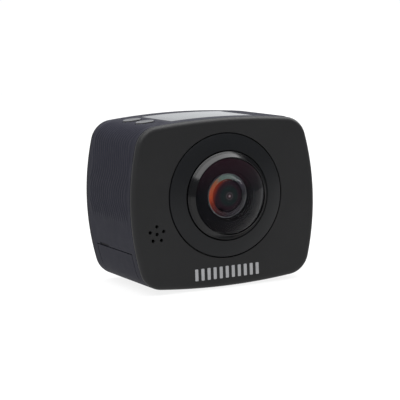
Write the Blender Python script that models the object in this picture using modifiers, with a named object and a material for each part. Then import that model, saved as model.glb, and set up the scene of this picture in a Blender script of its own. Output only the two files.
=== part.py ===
"""Action camera with a fisheye lens on each face, as an assembly of separate parts.

Metres, +Z up. The front lens looks along -Y and the rear lens along +Y. The origin is the middle of
the base plate's underside. The housing is a barrel-shaped band closed by two covers.
"""

import math

import bmesh
import bpy
from mathutils import Matrix, Vector

MM = 0.001

# Housing
BODY_WIDTH = 60.0 * MM
BODY_HEIGHT = 49.8 * MM
BODY_DEPTH = 36.0 * MM
TOP_ARC = 208.0 * MM
SIDE_ARC = 74.2 * MM
CORNER_RADIUS = 7.1 * MM
EDGE_ROUND = 1.5 * MM
WALL = 2.0 * MM
FACE_THICKNESS = 1.8 * MM
LIP_THICKNESS = 1.2 * MM
LIP_LENGTH = 2.2 * MM
BELLY_LIFT = 0.3 * MM
LENS_RISE = 2.2 * MM

# Clearances
GAP = 0.3 * MM
SEAT_GAP = 0.1 * MM
RING_GAP = 0.25 * MM
PIN_GAP = 0.15 * MM

# Lens stack, heights counted outwards from the face
SURROUND_RADIUS = 18.25 * MM
SURROUND_RISE = 1.0 * MM
SURROUND_DEPTH = 0.9 * MM
BEZEL_RADIUS = 13.0 * MM
BEZEL_RISE = 3.1 * MM
BEZEL_DEPTH = 3.0 * MM
DOME_RADIUS = 11.0 * MM
DOME_SAGITTA = 3.9 * MM
DOME_EDGE = 1.5 * MM
DOME_MIDDLE = 1.2 * MM
DOME_HOLLOW_RADIUS = 8.0 * MM
BARREL_RADIUS = 9.6 * MM
BARREL_THREAD_RADIUS = 7.0 * MM
BARREL_BORE_RADIUS = 4.2 * MM
BARREL_SHOULDER = 5.0 * MM
SECOND_LENS_RADIUS = 6.2 * MM
SECOND_LENS_SAGITTA = 2.6 * MM
SECOND_LENS_EDGE = 1.0 * MM
SECOND_LENS_SINK = 1.2 * MM
MOUNT_SIDE = 15.0 * MM
MOUNT_BASE = 2.0 * MM
MOUNT_WALL = 1.1 * MM

# Boards, counted from the middle plane
MAIN_BOARD_THICKNESS = 1.0 * MM
MAIN_BOARD_HEIGHT = 33.5 * MM
SENSOR_BOARD_OFFSET = 4.0 * MM
SENSOR_BOARD_SIDE = 19.0 * MM
BOARD_THICKNESS = 1.0 * MM
SENSOR_SIZE = (8.0 * MM, 6.4 * MM)
SENSOR_THICKNESS = 1.0 * MM
CONNECTOR_SIZE = (8.0 * MM, 3.0 * MM)
SHIELD_HEIGHT = 1.6 * MM
SHIELD_FROM = -5.5 * MM
SHIELD_TO = 6.0 * MM
MEMORY_SIZE = (8.0 * MM, 1.0 * MM, 7.0 * MM)
MEMORY_MIDDLE = -11.5 * MM

# Inner frame and its screws
WEB_OFFSET = 1.9 * MM
WEB_THICKNESS = 1.2 * MM
POST_RADIUS = 1.9 * MM
SCREW_CIRCLE = 15.7 * MM
SCREW_RADIUS = 0.7 * MM
SCREW_HEAD_RADIUS = 1.5 * MM
SCREW_HEAD_HEIGHT = 0.6 * MM
SCREW_DRIVE_RADIUS = 0.63 * MM
SCREW_LENGTH = 6.4 * MM
BOSS_RADIUS = 20.0 * MM
BOSS_LENGTH = 2.8 * MM

# Battery, its bay and the card beside it
BATTERY_THICKNESS = 8.0 * MM
BATTERY_WIDTH = 22.0 * MM
BATTERY_HEIGHT = 30.0 * MM
BATTERY_LIFT = 1.55 * MM
BATTERY_ROUND = 0.8 * MM
BAY_WALL = 0.6 * MM
CONTACT_SIZE = (5.0 * MM, 9.0 * MM, 2.2 * MM)
CONTACT_BLADES = 4
BLADE_SIZE = (6.0 * MM, 0.8 * MM, 1.1 * MM)
BLADE_PITCH = 2.0 * MM
CARD_SIZE = (0.7 * MM, 11.0 * MM, 15.0 * MM)
CARD_STICKS_OUT = 2.3 * MM
SOCKET_LIFT = 1.0 * MM
SOCKET_WALL = 0.35 * MM

# Door that wraps the lower left corner
DOOR_TOP = 12.0 * MM
DOOR_FRONT = -13.5 * MM
DOOR_REAR = 12.5 * MM
HINGE_X = -12.3 * MM
HINGE_PIN_RADIUS = 0.5 * MM
HINGE_PIN_END = 2.4 * MM
NOTCH_FROM = 3.5 * MM
NOTCH_TO = 10.0 * MM
NOTCH_HEIGHT = 0.6 * MM
NOTCH_DEPTH = 1.3 * MM
SEAL_THICKNESS = 0.5 * MM
SEAL_WIDTH = 1.2 * MM
SEAL_HINGE_SETBACK = 1.5 * MM

# Top: display and buttons
WINDOW_LENGTH = 27.0 * MM
WINDOW_WIDTH = 21.6 * MM
WINDOW_EDGE = 1.0 * MM
WINDOW_LEDGE = 2.0 * MM
DISPLAY_SIZE = (25.0 * MM, 19.5 * MM, 2.0 * MM)
BUTTON_RADIUS = 2.7 * MM
BUTTON_X = -19.2 * MM
BUTTON_PITCH = 9.3 * MM
BUTTON_RISE = 0.5 * MM
BUTTON_DISH = 0.25 * MM
BUTTON_FLANGE = 0.8 * MM
BUTTON_TRAVEL = 0.4 * MM
BUTTON_STEM_RADIUS = 1.0 * MM
BUTTON_STEM = 0.7 * MM
SWITCH_SIDE = 4.5 * MM
SWITCH_HEIGHT = 1.6 * MM
SWITCH_KNOB = 0.3 * MM
SWITCH_KNOB_RADIUS = 1.2 * MM
KEY_BOARD_SIZE = (6.0 * MM, 19.0 * MM)
MICROPHONE_SIZE = (3.0 * MM, 3.0 * MM, 1.0 * MM)
ANTENNA_WIDTH = 14.0 * MM
ANTENNA_THICKNESS = 0.4 * MM

# Sound
HOLE_CENTRE = (-22.6 * MM, -7.2 * MM)
HOLE_RADIUS = 0.5 * MM
HOLE_CIRCLE = 2.25 * MM
HOLES_AROUND = 5
SPEAKER_RADIUS = 3.2 * MM
SPEAKER_THICKNESS = 2.5 * MM

# Right side: ports
USB_SIZE = (5.6 * MM, 2.6 * MM, 7.6 * MM)
USB_HEIGHT = 11.6 * MM
HDMI_SIZE = (6.6 * MM, 2.9 * MM, 6.6 * MM)
HDMI_HEIGHT = -11.2 * MM
PORT_WALL = 0.35 * MM
PORT_MARGIN = 0.5 * MM
TONGUE_LENGTH = 0.8
TONGUE_THICKNESS = 0.25
TONGUE_WIDTH = 0.6

# Underside
BASE_LENGTH = 19.6 * MM
BASE_WIDTH = 18.0 * MM
BASE_THICKNESS = 1.0 * MM
INSERT_RADIUS = 4.6 * MM
INSERT_BORE_RADIUS = 3.2 * MM
INSERT_BORE_DEPTH = 5.8 * MM
INSERT_ROOF = 1.2 * MM
INSERT_FLANGE_RADIUS = 6.2 * MM
INSERT_FLANGE = 1.0 * MM
INSERT_SINK = 0.15 * MM
BASE_SCREW_X = 7.4 * MM
BASE_SCREW_LENGTH = 2.2 * MM
FOOT_SIDE = 16.0 * MM
FOOT_HEIGHT = 3.4 * MM

TURN_STEPS = 32
FINE_STEPS = 40
SIDE_STEPS = 8
CORNER_STEPS = 5

FACE = BODY_DEPTH / 2
MIDDLE = BELLY_LIFT + BODY_HEIGHT / 2
LENS_HEIGHT = MIDDLE + LENS_RISE
BAND_EDGE = FACE - FACE_THICKNESS - GAP
SIDES = (("front", -1), ("rear", 1))

PARTS = "action_camera"
CUTTERS = "cutters"


# ---------------------------------------------------------------- scene and materials

def clear_scene():
    for obj in list(bpy.data.objects):
        bpy.data.objects.remove(obj, do_unlink=True)
    for name in (PARTS, CUTTERS):
        group = bpy.data.collections.new(name)
        bpy.context.scene.collection.children.link(group)
    cutters = bpy.data.collections[CUTTERS]
    cutters.hide_render = True


def material(name, colour, roughness, metallic=0.0, alpha=1.0):
    made = bpy.data.materials.new(name)
    made.use_nodes = True
    shader = made.node_tree.nodes["Principled BSDF"]
    shader.inputs["Base Color"].default_value = (*colour, 1.0)
    shader.inputs["Roughness"].default_value = roughness
    shader.inputs["Metallic"].default_value = metallic
    shader.inputs["Alpha"].default_value = alpha
    made.diffuse_color = (*colour, 1.0)
    return made


FINISHES = {
    "shell": ((0.028, 0.028, 0.029), 0.55, 0.0),
    "grip": ((0.036, 0.036, 0.046), 0.6, 0.0),
    "trim": ((0.024, 0.026, 0.027), 0.45, 0.0),
    "gloss": ((0.01, 0.01, 0.011), 0.12, 0.0),
    "glass": ((0.02, 0.02, 0.03), 0.04, 0.0),
    "coated_glass": ((0.12, 0.05, 0.04), 0.05, 0.0),
    "window": ((0.2, 0.2, 0.22), 0.1, 0.0),
    "black_metal": ((0.03, 0.03, 0.03), 0.4, 0.9),
    "board": ((0.02, 0.09, 0.05), 0.5, 0.0),
    "chip": ((0.03, 0.03, 0.035), 0.45, 0.0),
    "steel": ((0.55, 0.56, 0.58), 0.3, 1.0),
    "brass": ((0.72, 0.52, 0.22), 0.3, 1.0),
    "frame": ((0.06, 0.06, 0.065), 0.6, 0.0),
    "battery": ((0.1, 0.11, 0.13), 0.5, 0.0),
    "rubber": ((0.02, 0.02, 0.02), 0.8, 0.0),
    "copper": ((0.7, 0.38, 0.2), 0.35, 1.0),
}


# ---------------------------------------------------------------- making and combining solids

def as_object(name, bm, group):
    bmesh.ops.recalc_face_normals(bm, faces=bm.faces)
    mesh = bpy.data.meshes.new(name)
    bm.to_mesh(mesh)
    bm.free()
    obj = bpy.data.objects.new(name, mesh)
    bpy.data.collections[group].objects.link(obj)
    if group == CUTTERS:
        obj.display_type = "WIRE"
        obj.hide_render = True
    return obj


def box(name, low, high, group=CUTTERS):
    """A box between two opposite corners."""
    low = Vector(low)
    high = Vector(high)
    bm = bmesh.new()
    bmesh.ops.create_cube(bm, size=1.0)
    bmesh.ops.scale(bm, vec=high - low, verts=bm.verts)
    bmesh.ops.translate(bm, vec=(low + high) / 2, verts=bm.verts)
    return as_object(name, bm, group)


def centred_box(name, centre, size, group=CUTTERS):
    centre = Vector(centre)
    half = Vector(size) / 2
    return box(name, centre - half, centre + half, group)


def rod(name, start, end, radius, steps=24, group=CUTTERS):
    """A round bar from one point to another."""
    start = Vector(start)
    run = Vector(end) - start
    bm = bmesh.new()
    bmesh.ops.create_cone(
        bm, cap_ends=True, segments=steps, radius1=radius, radius2=radius, depth=run.length
    )
    turn = run.to_track_quat("Z", "Y").to_matrix().to_4x4()
    bmesh.ops.transform(bm, matrix=Matrix.Translation(start + run / 2) @ turn, verts=bm.verts)
    return as_object(name, bm, group)


def combine(target, other, operation="DIFFERENCE"):
    step = target.modifiers.new(f"{operation.lower()} {other.name}", "BOOLEAN")
    step.operation = operation
    step.solver = "EXACT"
    step.object = other
    return target


def cut(target, *others):
    for other in others:
        combine(target, other)
    return target


def join(target, *others):
    for other in others:
        combine(target, other, "UNION")
    return target


def arc(centre, radius, start, end, steps):
    """Points of an arc in the X-Z plane, without its last point."""
    points = []
    for index in range(steps):
        angle = start + (end - start) * index / steps
        points.append((centre[0] + radius * math.cos(angle), centre[1] + radius * math.sin(angle)))
    return points


def arc_centres():
    """Centres of the right side arc, the top arc and the corner arc that touches both."""
    side = Vector((BODY_WIDTH / 2 - SIDE_ARC, 0.0))
    top = Vector((0.0, BODY_HEIGHT / 2 - TOP_ARC))
    to_side = SIDE_ARC - CORNER_RADIUS
    to_top = TOP_ARC - CORNER_RADIUS
    between = top - side
    along = (to_side**2 - to_top**2 + between.length_squared) / (2 * between.length)
    across = math.sqrt(to_side**2 - along**2)
    direction = between.normalized()
    foot = side + direction * along
    corner = foot + Vector((-direction.y, direction.x)) * across
    if corner.y < 0 or corner.x < 0:
        corner = foot - Vector((-direction.y, direction.x)) * across
    return side, top, corner


def outline(inset=0.0):
    """The housing's barrel outline around the body's middle, moved inwards by inset."""
    side, top, corner = arc_centres()
    side_end = math.atan2(corner.y - side.y, corner.x - side.x)
    top_end = math.atan2(corner.y - top.y, corner.x - top.x)
    half_turn = math.pi
    points = []
    points += arc(side, SIDE_ARC - inset, -side_end, side_end, SIDE_STEPS)
    points += arc(corner, CORNER_RADIUS - inset, side_end, top_end, CORNER_STEPS)
    points += arc(top, TOP_ARC - inset, top_end, half_turn - top_end, SIDE_STEPS)
    left_corner = (-corner.x, corner.y)
    last = half_turn - side_end
    points += arc(left_corner, CORNER_RADIUS - inset, half_turn - top_end, last, CORNER_STEPS)
    half = len(points)
    for x, z in points[:half]:
        points.append((-x, -z))
    return points


def side_x(height, inset=0.0):
    """Distance of the side wall's surface from the middle at a height above the body's middle."""
    side, _, corner = arc_centres()
    meeting = side.y + (corner.y - side.y) * (SIDE_ARC - inset) / (SIDE_ARC - CORNER_RADIUS)
    if abs(height) <= meeting:
        return side.x + math.sqrt((SIDE_ARC - inset) ** 2 - height**2)
    rise = abs(height) - corner.y
    return corner.x + math.sqrt((CORNER_RADIUS - inset) ** 2 - rise**2)


def side_height(x, inset=0.0):
    """How far above or below the middle the side wall still keeps a distance x from it."""
    side, _, corner = arc_centres()
    meeting = side.y + (corner.y - side.y) * (SIDE_ARC - inset) / (SIDE_ARC - CORNER_RADIUS)
    height = math.sqrt((SIDE_ARC - inset) ** 2 - (x - side.x) ** 2)
    if height <= meeting:
        return height
    return corner.y + math.sqrt((CORNER_RADIUS - inset) ** 2 - (x - corner.x) ** 2)


def top_z(x, inset=0.0):
    """Height of the top wall's surface above the body's middle at a distance from the middle."""
    _, top, _ = arc_centres()
    return top.y + math.sqrt((TOP_ARC - inset) ** 2 - x**2)


def prism(name, inset, start, end, group=CUTTERS, rounded_end=0.0):
    """The barrel outline extruded along Y from start to end, with its end's rim rounded."""
    bm = bmesh.new()
    ring = [bm.verts.new((x, start, MIDDLE + z)) for x, z in outline(inset)]
    base = bm.faces.new(ring)
    grown = bmesh.ops.extrude_face_region(bm, geom=[base])
    moved = [item for item in grown["geom"] if isinstance(item, bmesh.types.BMVert)]
    bmesh.ops.translate(bm, vec=(0, end - start, 0), verts=moved)
    bmesh.ops.recalc_face_normals(bm, faces=bm.faces)
    if rounded_end:
        rim = [edge for edge in bm.edges if all(vert in moved for vert in edge.verts)]
        bmesh.ops.bevel(bm, geom=rim, offset=rounded_end, segments=3, profile=0.5, affect="EDGES")
    return as_object(name, bm, group)


def ring_prism(name, outer, inner, start, end, group=CUTTERS):
    """A ring between two insets of the barrel outline."""
    ring = prism(name, outer, start, end, group)
    cut(ring, prism(f"{name}_bore", inner, start - GAP, end + GAP))
    return ring


def turned(name, profile, sign, group=PARTS, steps=TURN_STEPS, closed=True):
    """A profile of (radius, height above the face) points turned about the lens axis of one side."""
    mesh = bpy.data.meshes.new(name)
    count = len(profile)
    edges = [(index, index + 1) for index in range(count - 1)]
    if closed:
        edges.append((count - 1, 0))
    mesh.from_pydata([(radius, 0.0, height) for radius, height in profile], edges, [])
    obj = bpy.data.objects.new(name, mesh)
    bpy.data.collections[group].objects.link(obj)
    obj.location = (0.0, sign * FACE, LENS_HEIGHT)
    obj.rotation_euler = (-sign * math.pi / 2, 0.0, 0.0)
    screw = obj.modifiers.new("turn", "SCREW")
    screw.axis = "Z"
    screw.steps = steps
    screw.render_steps = steps
    screw.use_merge_vertices = True
    screw.merge_threshold = 0.00001
    screw.use_smooth_shade = True
    if group == CUTTERS:
        obj.display_type = "WIRE"
        obj.hide_render = True
    return obj


def cap_profile(radius, sagitta, rim_height, steps):
    """Points of a spherical cap from its top on the axis down to its rim."""
    sphere = (radius**2 + sagitta**2) / (2 * sagitta)
    centre = rim_height + sagitta - sphere
    reach = math.asin(radius / sphere)
    points = []
    for index in range(steps + 1):
        angle = reach * index / steps
        points.append((sphere * math.sin(angle), centre + sphere * math.cos(angle)))
    return points


def rounded_box(name, centre, size, radius):
    obj = centred_box(name, centre, size, PARTS)
    bevel = obj.modifiers.new("round", "BEVEL")
    bevel.width = radius
    bevel.segments = 2
    return obj


def moved_to(obj, origin):
    """Puts the object's origin at a point and leaves its shape where it is."""
    origin = Vector(origin)
    obj.data.transform(Matrix.Translation(-origin))
    obj.location = origin
    return obj


def shade_smooth(obj, angle=40):
    for face in obj.data.polygons:
        face.use_smooth = True
    obj.data.set_sharp_from_angle(angle=math.radians(angle))


def finish(obj, name):
    obj.data.materials.clear()
    obj.data.materials.append(bpy.data.materials[name])
    return obj


# ---------------------------------------------------------------- housing

def make_side_band():
    """The middle of the housing: a barrel-shaped ring with openings for everything at its edges."""
    band = ring_prism("side_band", 0.0, WALL, -BAND_EDGE, BAND_EDGE, PARTS)
    door_seam = HINGE_X + WALL / 2 + GAP
    cut(
        band,
        box(
            "door_opening",
            (-BODY_WIDTH, DOOR_FRONT, -BODY_HEIGHT),
            (door_seam, DOOR_REAR, MIDDLE - BODY_HEIGHT / 2 + DOOR_TOP),
        ),
        finger_notch(),
        hinge_bore("hinge_pin_bore", HINGE_PIN_RADIUS + PIN_GAP, -BAND_EDGE - GAP),
        window_pocket(),
        window_view(),
    )
    for name, y in button_places():
        hole = rod(f"{name}_hole", (0, 0, -3 * WALL), (0, 0, WALL), BUTTON_RADIUS + GAP)
        cut(band, placed(hole, button_frame(y)))
    for name, size, height in ports():
        middle = (BODY_WIDTH / 2, port_y(size), MIDDLE + height)
        opening = (3 * WALL + BODY_WIDTH / 10, size[1] + PORT_MARGIN, size[2] + PORT_MARGIN)
        cut(band, centred_box(f"{name}_opening", middle, opening))
    recess_top = BASE_THICKNESS + GAP
    reach = Vector((BASE_LENGTH / 2 + GAP, BASE_WIDTH / 2 + GAP, recess_top))
    cut(
        band,
        box("base_recess", (-reach.x, -reach.y, -BODY_HEIGHT), reach),
        rod("insert_hole", (0, 0, -WALL), (0, 0, 3 * WALL), INSERT_RADIUS + GAP),
    )
    for name, x in base_screws():
        top = BASE_SCREW_LENGTH + SCREW_HEAD_HEIGHT + WALL
        cut(band, rod(f"{name}_hole", (x, 0, 0), (x, 0, top), SCREW_RADIUS + PIN_GAP, 16))
    shade_smooth(band)
    finish(band, "grip")


def finger_notch():
    """A scoop above the door's upper edge, where a finger nail gets hold of it."""
    bottom = MIDDLE - BODY_HEIGHT / 2 + DOOR_TOP
    surface = side_x(DOOR_TOP - BODY_HEIGHT / 2)
    return box(
        "finger_notch",
        (-BODY_WIDTH, NOTCH_FROM, bottom - GAP),
        (NOTCH_DEPTH - surface, NOTCH_TO, bottom + NOTCH_HEIGHT),
    )


def make_cover(side, sign):
    """A flat face with a rounded rim, a lip that enters the band and a boss around the lens."""
    back = FACE - FACE_THICKNESS
    lip_end = back - LIP_LENGTH
    boss_end = back - BOSS_LENGTH
    cover = prism(f"{side}_cover", 0.0, sign * back, sign * FACE, PARTS, EDGE_ROUND)
    lip = WALL + GAP
    backing = prism(f"{side}_lip", lip, sign * lip_end, sign * (back + GAP))
    pocket = prism(f"{side}_pocket", lip + LIP_THICKNESS, sign * (boss_end - GAP), sign * back)
    boss_start = (0, sign * (boss_end - 2 * GAP), LENS_HEIGHT)
    boss_stop = (0, sign * (back + GAP), LENS_HEIGHT)
    cut(pocket, rod(f"{side}_kept_boss", boss_start, boss_stop, BOSS_RADIUS, TURN_STEPS))
    boss = prism(f"{side}_boss", lip, sign * boss_end, sign * (back + GAP))
    trim_start = (0, sign * (boss_end - GAP), LENS_HEIGHT)
    boss_form = rod(f"{side}_boss_form", trim_start, boss_stop, BOSS_RADIUS, TURN_STEPS)
    combine(boss, boss_form, "INTERSECT")
    cut(backing, pocket)
    join(cover, backing, boss)
    seat_end = (0, sign * (FACE - SURROUND_DEPTH - GAP), LENS_HEIGHT)
    outside = (0, sign * (FACE + WALL), LENS_HEIGHT)
    through = (0, sign * (boss_end - WALL), LENS_HEIGHT)
    seat_radius = SURROUND_RADIUS + RING_GAP
    cut(
        cover,
        rod(f"{side}_surround_seat", seat_end, outside, seat_radius, FINE_STEPS),
        rod(f"{side}_lens_hole", through, outside, BEZEL_RADIUS + GAP, FINE_STEPS),
    )
    for index, (x, z) in enumerate(screw_places(), start=1):
        seat = sign * (FACE - SURROUND_DEPTH - GAP - SCREW_HEAD_HEIGHT - 2 * GAP)
        head = rod(
            f"{side}_head_seat_{index}", (x, seat, z), (x, sign * FACE, z), SCREW_HEAD_RADIUS + GAP, 16
        )
        shank = rod(
            f"{side}_shank_hole_{index}", (x, 0, z), (x, sign * FACE, z), SCREW_RADIUS + PIN_GAP, 12
        )
        cut(cover, head, shank)
    if side == "front":
        for index, (x, z) in enumerate(sound_holes()):
            start = (x, -FACE - GAP, MIDDLE + z)
            end = (x, -back + WALL, MIDDLE + z)
            cut(cover, rod(f"sound_hole_{index}", start, end, HOLE_RADIUS, 10))
    shade_smooth(cover)
    finish(cover, "shell")


def sound_holes():
    x, z = HOLE_CENTRE
    places = [HOLE_CENTRE]
    for index in range(HOLES_AROUND):
        angle = math.pi / 2 + 2 * math.pi * index / HOLES_AROUND
        places.append((x + HOLE_CIRCLE * math.cos(angle), z + HOLE_CIRCLE * math.sin(angle)))
    return places


def screw_places():
    """Four places on the screw circle around the lens, in world X and Z."""
    reach = SCREW_CIRCLE / math.sqrt(2)
    return [(x * reach, LENS_HEIGHT + z * reach) for x in (-1, 1) for z in (-1, 1)]


# ---------------------------------------------------------------- lens stack

def make_lens_stack(side, sign):
    bezel_seat = BEZEL_RISE - DOME_EDGE - GAP
    surround = turned(
        f"{side}_lens_surround",
        [
            (BEZEL_RADIUS + RING_GAP, SURROUND_RISE),
            (SURROUND_RADIUS - GAP, GAP / 3),
            (SURROUND_RADIUS, -GAP),
            (SURROUND_RADIUS, -SURROUND_DEPTH),
            (BEZEL_RADIUS + RING_GAP, -SURROUND_DEPTH),
        ],
        sign,
        steps=FINE_STEPS,
    )
    finish(surround, "trim")
    inner_radius = BARREL_RADIUS + GAP
    opening = DOME_RADIUS + GAP
    bezel = turned(
        f"{side}_bezel_ring",
        [
            (opening, BEZEL_RISE),
            (opening + 2 * GAP, BEZEL_RISE - GAP / 3),
            (BEZEL_RADIUS - GAP, (BEZEL_RISE + SURROUND_RISE) / 2),
            (BEZEL_RADIUS, SURROUND_RISE),
            (BEZEL_RADIUS, -BEZEL_DEPTH),
            (inner_radius, -BEZEL_DEPTH),
            (inner_radius, bezel_seat),
            (opening, bezel_seat),
        ],
        sign,
        steps=FINE_STEPS,
    )
    finish(bezel, "gloss")
    make_dome(side, sign)
    make_second_lens(side, sign)
    make_barrel(side, sign)
    make_lens_mount(side, sign)


def make_dome(side, sign):
    """The front element: a bulging outer face, a flat rim and a deep hollow behind."""
    rear = BEZEL_RISE - DOME_EDGE
    profile = cap_profile(DOME_RADIUS, DOME_SAGITTA, BEZEL_RISE, 6)
    hollow_top = BEZEL_RISE + DOME_SAGITTA - DOME_MIDDLE
    centre = hollow_top - DOME_HOLLOW_RADIUS
    reach = math.acos((rear - centre) / DOME_HOLLOW_RADIUS)
    profile.append((DOME_RADIUS, rear))
    for index in range(6):
        angle = reach * (1 - index / 5)
        radius = DOME_HOLLOW_RADIUS * math.sin(angle)
        profile.append((radius, centre + DOME_HOLLOW_RADIUS * math.cos(angle)))
    dome = turned(f"{side}_lens_dome", profile, sign, steps=FINE_STEPS, closed=False)
    finish(dome, "glass")


def make_second_lens(side, sign):
    rim = SECOND_LENS_EDGE - SECOND_LENS_SINK
    profile = cap_profile(SECOND_LENS_RADIUS, SECOND_LENS_SAGITTA, rim, 4)
    profile.append((SECOND_LENS_RADIUS, -SECOND_LENS_SINK))
    profile.append((0.0, -SECOND_LENS_SINK))
    lens = turned(f"{side}_second_lens", profile, sign, closed=False)
    finish(lens, "coated_glass")


def barrel_end():
    """How far below the face the barrel ends, just above the sensor's window in the lens mount."""
    return FACE - SENSOR_BOARD_OFFSET - BOARD_THICKNESS - SEAT_GAP - MOUNT_BASE - GAP


def make_barrel(side, sign):
    top = BEZEL_RISE - DOME_EDGE - GAP - SEAT_GAP
    seat = SECOND_LENS_SINK + SEAT_GAP
    lens_bore = SECOND_LENS_RADIUS + SEAT_GAP
    barrel = turned(
        f"{side}_lens_barrel",
        [
            (lens_bore + GAP, top),
            (BARREL_RADIUS, top),
            (BARREL_RADIUS, -BARREL_SHOULDER),
            (BARREL_THREAD_RADIUS, -BARREL_SHOULDER),
            (BARREL_THREAD_RADIUS, -barrel_end()),
            (BARREL_BORE_RADIUS, -barrel_end()),
            (BARREL_BORE_RADIUS, -seat),
            (lens_bore, -seat),
            (lens_bore, SECOND_LENS_EDGE - SECOND_LENS_SINK + GAP),
        ],
        sign,
    )
    finish(barrel, "black_metal")


def make_lens_mount(side, sign):
    """A square foot on the sensor board with a threaded collar that takes the barrel."""
    foot_start = SENSOR_BOARD_OFFSET + BOARD_THICKNESS + SEAT_GAP
    foot_end = foot_start + MOUNT_BASE
    middle = (0, sign * (foot_start + foot_end) / 2, LENS_HEIGHT)
    mount = centred_box(f"{side}_lens_mount", middle, (MOUNT_SIDE, MOUNT_BASE, MOUNT_SIDE), PARTS)
    collar_end = FACE - BARREL_SHOULDER - 2 * GAP
    bore = BARREL_THREAD_RADIUS + GAP
    collar = rod(
        f"{side}_mount_collar",
        (0, sign * (foot_end - GAP), LENS_HEIGHT),
        (0, sign * collar_end, LENS_HEIGHT),
        bore + MOUNT_WALL,
        32,
    )
    thread = rod(
        f"{side}_mount_thread",
        (0, sign * foot_end, LENS_HEIGHT),
        (0, sign * (collar_end + WALL), LENS_HEIGHT),
        bore,
        32,
    )
    window_size = (SENSOR_SIZE[0] + 2 * GAP, 3 * MOUNT_BASE, SENSOR_SIZE[1] + 2 * GAP)
    window = centred_box(f"{side}_sensor_window", middle, window_size)
    join(mount, collar)
    cut(mount, thread, window)
    finish(mount, "black_metal")


def make_sensor_board(side, sign):
    near = SENSOR_BOARD_OFFSET
    far = near + BOARD_THICKNESS
    board = centred_box(
        f"{side}_sensor_board",
        (0, sign * (near + far) / 2, LENS_HEIGHT),
        (SENSOR_BOARD_SIDE, BOARD_THICKNESS, SENSOR_BOARD_SIDE),
        PARTS,
    )
    finish(board, "board")
    sensor = centred_box(
        f"{side}_image_sensor",
        (0, sign * (far + SEAT_GAP + SENSOR_THICKNESS / 2), LENS_HEIGHT),
        (SENSOR_SIZE[0], SENSOR_THICKNESS, SENSOR_SIZE[1]),
        PARTS,
    )
    finish(sensor, "chip")
    start = MAIN_BOARD_THICKNESS / 2 + SEAT_GAP
    end = near - SEAT_GAP
    connector = centred_box(
        f"{side}_board_connector",
        (0, sign * (start + end) / 2, LENS_HEIGHT),
        (CONNECTOR_SIZE[0], end - start, CONNECTOR_SIZE[1]),
        PARTS,
    )
    finish(connector, "chip")


# ---------------------------------------------------------------- screws

def pan_screw(name, head_top, direction, length):
    """A pan-head screw: its head's top centre, the way it drives and its length under the head."""
    head_top = Vector(head_top)
    direction = Vector(direction)
    under = head_top + direction * SCREW_HEAD_HEIGHT
    screw = rod(name, head_top, under, SCREW_HEAD_RADIUS, 16, PARTS)
    shank_start = under - direction * SCREW_HEAD_HEIGHT / 3
    join(screw, rod(f"{name}_shank", shank_start, under + direction * length, SCREW_RADIUS, 10))
    drive_start = head_top - direction * GAP
    drive_end = head_top + direction * SCREW_HEAD_HEIGHT / 2
    cut(screw, rod(f"{name}_drive", drive_start, drive_end, SCREW_DRIVE_RADIUS, 6))
    finish(screw, "steel")


def make_cover_screws(side, sign):
    head_top = sign * (FACE - SURROUND_DEPTH - 1.5 * GAP)
    for index, (x, z) in enumerate(screw_places(), start=1):
        pan_screw(f"{side}_cover_screw_{index}", (x, head_top, z), (0, -sign, 0), SCREW_LENGTH)


# ---------------------------------------------------------------- boards and frame

def board_left():
    """The main board's left edge, just outside the posts."""
    return -(SCREW_CIRCLE / math.sqrt(2) + POST_RADIUS + GAP + 2 * GAP)


def bay_right():
    """The right face of the wall between the battery and the card socket."""
    return socket_left() - GAP


def socket_left():
    return board_left() - GAP - CARD_SIZE[0] - 2 * SOCKET_WALL


def make_main_board():
    half = MAIN_BOARD_THICKNESS / 2
    top = MIDDLE + MAIN_BOARD_HEIGHT / 2
    right = side_x(MAIN_BOARD_HEIGHT / 2, WALL + GAP) - GAP
    board = box(
        "main_board",
        (board_left(), -half, MIDDLE - MAIN_BOARD_HEIGHT / 2),
        (right, half, top),
        PARTS,
    )
    for index, (x, z) in enumerate(screw_places(), start=1):
        cut(board, rod(f"board_hole_{index}", (x, -WALL, z), (x, WALL, z), POST_RADIUS + GAP, 16))
    finish(board, "board")
    post_side = SCREW_CIRCLE / math.sqrt(2) + POST_RADIUS + GAP
    shield = box(
        "processor_shield",
        (post_side + GAP, -half - SEAT_GAP - SHIELD_HEIGHT, MIDDLE + SHIELD_FROM),
        (right - GAP, -half - SEAT_GAP, MIDDLE + SHIELD_TO),
        PARTS,
    )
    finish(shield, "steel")
    memory_middle = (0, half + SEAT_GAP + MEMORY_SIZE[1] / 2, MIDDLE + MEMORY_MIDDLE)
    memory = centred_box("memory_chip", memory_middle, MEMORY_SIZE, PARTS)
    finish(memory, "chip")


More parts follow.
